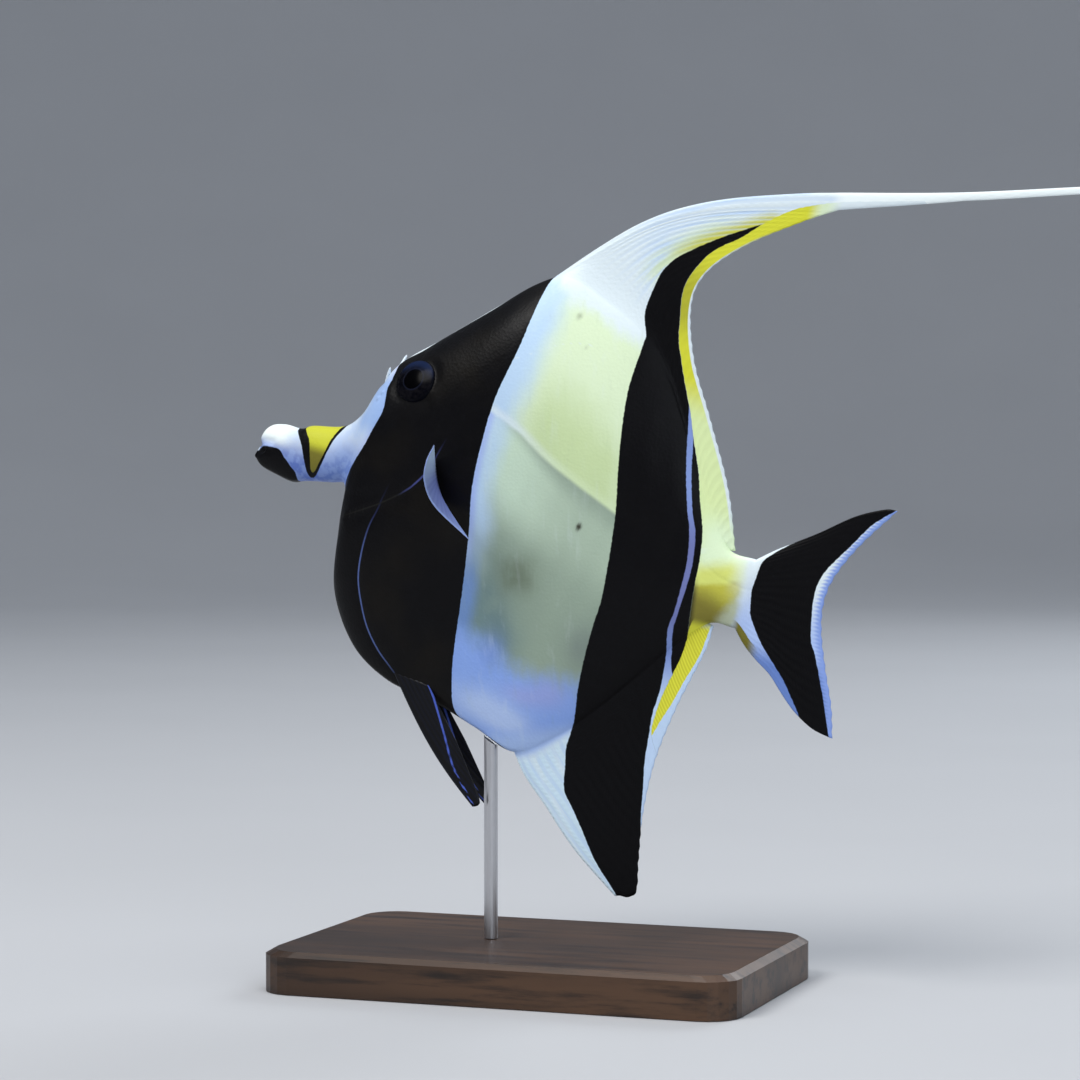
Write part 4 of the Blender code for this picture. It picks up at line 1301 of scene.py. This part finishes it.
def mesh_from(name, points, faces):
    mesh = bpy.data.meshes.new(name)
    mesh.from_pydata([tuple(point) for point in points], [], faces)
    mesh.shade_smooth()
    return mesh


def mesh_from_bmesh(name, bm, material):
    """Smooth mesh of a closed shape, with its faces turned outwards."""
    bm.normal_update()
    bmesh.ops.recalc_face_normals(bm, faces=bm.faces)
    mesh = bpy.data.meshes.new(name)
    bm.to_mesh(mesh)
    bm.free()
    mesh.shade_smooth()
    mesh.materials.append(material)
    return mesh


def set_trait(mesh, name, values):
    layer = mesh.attributes.new(name, "FLOAT", "POINT")
    layer.data.foreach_set("value", np.asarray(values, np.float32))


def make_skin():
    skin = build_skin()
    mesh = mesh_from("fish_skin", to_world(*skin.points.T), skin.faces.tolist())
    for material in (skin_material(), pectoral_material(), pelvic_material()):
        mesh.materials.append(material)
    mesh.polygons.foreach_set("material_index", skin.kinds.astype(np.int32))
    for name, values in skin.traits.items():
        set_trait(mesh, name, values)
    layer = mesh.uv_layers.new(name="OFBake")
    layer.data.foreach_set("uv", skin.maps.reshape(-1).astype(np.float32))
    piece = show("fish_skin", mesh)
    flesh = ["lower_jaw", "upper_jaw", "snout", "head", "trunk", "tail_stalk", "dorsal_fin",
             "dorsal_streamer_1", "dorsal_streamer_2", "dorsal_streamer_3",
             "dorsal_streamer_4", "anal_fin", "tail_fin", "pectoral_fin_left",
             "pectoral_fin_right", "pelvic_fin_left", "pelvic_fin_right"]
    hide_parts(*flesh)
    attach(piece, "root")


def eye_material():
    g = Graph("eye", 0.20, Specular_IOR_Level=0.035)
    radius = g.trait("radius")
    iris = g.blend(g.step(g.noise(900.0, 3.0), 0.35, 0.65), (0.0015, 0.0016, 0.0032),
                   (0.0055, 0.0052, 0.0070))
    colour = g.blend(g.step(radius, 0.44, 0.48), (0.0005, 0.0005, 0.0009), iris)
    ring = g.times(g.step(radius, 0.44, 0.47), g.step(radius, 0.53, 0.49))
    colour = g.blend((ring, 0.25), colour, (0.022, 0.028, 0.060))
    # Painted reflection: a dim blue glow over the upper part of the eye, away from its middle
    painted_reflection = g.times(g.step(radius, 0.35, 0.80), g.step("lift", 0.05, 0.75))
    colour = g.blend((painted_reflection, 0.9), colour, (0.010, 0.018, 0.054))
    colour = g.blend(g.step(radius, 0.86, 0.93), colour, (0.0022, 0.0025, 0.005))
    return g.finish(colour)


def make_eye(label, side, material):
    """Low eyeball square to the cheek, with a clear bulge over the pupil."""
    back, up, out = cheek_axes(side)
    centre = to_world(*EYE_PLACE, side * flank(*EYE_PLACE))
    bm = bmesh.new()
    around, along = EYE_SEGMENTS
    bmesh.ops.create_uvsphere(bm, u_segments=around, v_segments=along, radius=1.0)
    radii, lifts = [], []
    for vert in bm.verts:
        x, y, z = vert.co
        reach = math.hypot(x, y)
        radii.append(reach if z > 0 else 1.0)
        lifts.append(-y * side)
        bulge = PUPIL_BULGE * math.exp(-(reach / 0.55) ** 4)
        height = eye_height(reach) + bulge if z >= 0 else eye_height(1.0) + 1.2 * z
        vert.co = centre + (back * x + up * y) * EYE_RADIUS + out * (float(height) * 0.001)
    mesh = mesh_from_bmesh(f"eyeball_{label}", bm, material)
    set_trait(mesh, "radius", radii)
    set_trait(mesh, "lift", lifts)
    piece = show(f"eyeball_{label}", mesh)
    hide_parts(f"eye_{label}")
    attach(piece, "root")


def circle(count):
    return [(math.cos(a), math.sin(a)) for a in np.linspace(0, 2 * math.pi, count, endpoint=False)]


def horn_material():
    g = Graph("horn", 0.38)
    grain = g.noise(1400.0, 3.0)
    colour = g.blend(g.step(grain, 0.3, 0.7), (0.66, 0.78, 0.90), (0.82, 0.90, 0.95))
    return g.finish(colour, g.bump(grain, 0.00004, 0.5))


def make_horn(label, side, material):
    """Small bony horn in front of the eye, curved and tapering to a blunt tip."""
    s, h = HORN_PLACE
    root = to_world(s + 0.7 * MM, h - HORN_ROOT_DEPTH / STANDARD_LENGTH,
                    side * (flank(s, h) - 0.6 * MM))
    thickness = HORN_RADIUS * (0.45 + 0.55 * HORN_LENGTHS[label] / HORN_LENGTHS["right"])
    axis = 0.94 * UPWARD + 0.02 * BACKWARD + 0.36 * side * ACROSS
    axis /= np.linalg.norm(axis)
    across = np.cross(axis, BACKWARD)
    across /= np.linalg.norm(across)
    along = np.cross(across, axis)
    bm = bmesh.new()
    rows = []
    for share in np.linspace(0, 1, HORN_RINGS):
        radius = thickness * (1.05 - 0.60 * share) * math.sqrt(max(1 - share ** 8, 0.02))
        length = share * (HORN_LENGTHS[label] + HORN_ROOT_DEPTH)
        middle = root + axis * length + along * 0.0004 * share ** 2
        ridge = 1 + 0.06 * math.sin(share * 30)
        rows.append([bm.verts.new(middle + radius * ridge * (x * along + y * across))
                     for x, y in circle(HORN_SIDES)])
    for low, high in zip(rows, rows[1:]):
        for k in range(HORN_SIDES):
            n = (k + 1) % HORN_SIDES
            bm.faces.new((low[k], low[n], high[n], high[k]))
    bm.faces.new(rows[0])
    bm.faces.new(rows[-1])
    piece = show(f"bony_horn_{label}", mesh_from_bmesh(f"bony_horn_{label}", bm, material))
    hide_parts(f"horn_{label}")
    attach(piece, "root")


def wood_material():
    g = Graph("stained_wood", 0.42, Coat_Weight=0.12, Coat_Roughness=0.22, Specular_IOR_Level=0.35)
    along = g.stretched(0.09, 1.0, 1.0)
    grain = g.noise(260.0, 5.0, 0.65, along)
    rings = g.noise(45.0, 3.0, 0.5, along)
    pores = g.noise(1500.0, 2.0, 0.6, along)
    colour = g.blend(g.step(rings, 0.35, 0.65), (0.034, 0.017, 0.009), (0.088, 0.044, 0.022))
    colour = g.blend(g.step(grain, 0.45, 0.70), colour, (0.016, 0.009, 0.006))
    height = g.plus(g.times(grain, 0.6), g.times(pores, 0.4))
    return g.finish(colour, g.bump(height, 0.0001, 0.35))


def steel_material():
    g = Graph("brushed_steel", 0.28, Metallic=1.0)
    brush = g.noise(5000.0, 3.0, 0.6, g.stretched(1.0, 1.0, 0.03))
    colour = g.blend(brush, (0.50, 0.50, 0.52), (0.68, 0.68, 0.70))
    return g.finish(colour, g.bump(brush, 0.00002, 0.4))


def dress_stand():
    for name, material, slot in (("stand_base", wood_material(), "stand"),
                                 ("stand_rod", steel_material(), "steel")):
        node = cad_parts[name]
        node.data.materials.clear()
        node.data.materials.append(material)


# Floor: flat reach, radius of the bend up, backdrop's top and gap under the stand, in metres
FLOOR_REACH = 2.0
FLOOR_BEND = 1.8
BACKDROP_TOP = 4.5
FLOOR_GAP = 0.0002
FLOOR_SIDES = 96


def make_floor():
    """Pale floor that curves up into a plain backdrop all the way round."""
    profile = [(0.6, 0.0), (1.3, 0.0), (FLOOR_REACH, 0.0)]
    for turn in np.linspace(0, math.pi / 2, 16)[1:]:
        profile.append((FLOOR_REACH + FLOOR_BEND * math.sin(turn),
                        FLOOR_BEND - FLOOR_BEND * math.cos(turn)))
    profile.append((FLOOR_REACH + FLOOR_BEND, BACKDROP_TOP))
    points = [(0.0, 0.0, -FLOOR_GAP)]
    points += [(radius * x, radius * y, height - FLOOR_GAP)
               for radius, height in profile for x, y in circle(FLOOR_SIDES)]
    faces = []
    for k in range(FLOOR_SIDES):
        n = (k + 1) % FLOOR_SIDES
        faces.append((0, 1 + k, 1 + n))
        for low in range(1, len(points) - FLOOR_SIDES, FLOOR_SIDES):
            high = low + FLOOR_SIDES
            faces.append((low + k, high + k, high + n, low + n))
    mesh = mesh_from("floor", points, faces)
    g = Graph("floor_paint", 0.8)
    colour = g.blend(g.noise(6.0, 2.0), (0.50, 0.51, 0.53), (0.53, 0.54, 0.56))
    mesh.materials.append(g.finish(colour))
    show("floor", mesh)


def aim(made, place, direction):
    """Sets a lamp or the camera at a place, looking along a direction."""
    made.location = place
    made.rotation_mode = "QUATERNION"
    made.rotation_quaternion = direction.to_track_quat("-Z", "Y")


LIGHT_TARGET = (0.02, 0.0, 0.14)


def area_light(name, place, size, power, colour=(1.0, 1.0, 1.0)):
    data = bpy.data.lights.new(name, "AREA")
    data.shape = "DISK"
    data.size = size
    data.energy = power
    data.color = colour
    aim(show(name, data), place, Vector(LIGHT_TARGET) - Vector(place))


def light_scene():
    world = bpy.data.worlds.new("studio")
    world.use_nodes = True
    background = world.node_tree.nodes["Background"]
    background.inputs["Color"].default_value = (0.80, 0.88, 1.0, 1.0)
    background.inputs["Strength"].default_value = 0.50
    bpy.context.scene.world = world
    area_light("key", (-0.55, -1.05, 1.55), 0.9, 21.5, (1.0, 0.98, 0.95))
    area_light("top", (0.10, -0.10, 1.6), 1.0, 9.0)
    area_light("fill", (1.3, -1.2, 0.7), 1.2, 7.0, (0.86, 0.92, 1.0))
    area_light("back", (0.5, 1.5, 1.0), 1.0, 10.0, (0.90, 0.95, 1.0))


CAMERA_AZIMUTH = math.radians(20.0)
CAMERA_ELEVATION = math.radians(2.0)
CAMERA_DISTANCE = 0.95
CAMERA_TARGET = (0.0, 0.0, 0.127)
CAMERA_LENS = 111.07


def make_camera():
    away = Vector((math.sin(CAMERA_AZIMUTH) * math.cos(CAMERA_ELEVATION),
                   -math.cos(CAMERA_AZIMUTH) * math.cos(CAMERA_ELEVATION),
                   math.sin(CAMERA_ELEVATION)))
    data = bpy.data.cameras.new("camera")
    data.lens = CAMERA_LENS
    data.sensor_width = 36.0
    data.clip_start = 0.05
    camera = show("camera", data)
    aim(camera, Vector(CAMERA_TARGET) + away * CAMERA_DISTANCE, -away)
    bpy.context.scene.camera = camera


def main():
    bpy.context.scene.view_settings.view_transform = "Standard"
    make_skin()
    eye, horn = eye_material(), horn_material()
    for label, side in (("left", -1.0), ("right", 1.0)):
        make_eye(label, side, eye)
        make_horn(label, side, horn)
    dress_stand()
    make_floor()
    light_scene()
    make_camera()


main()
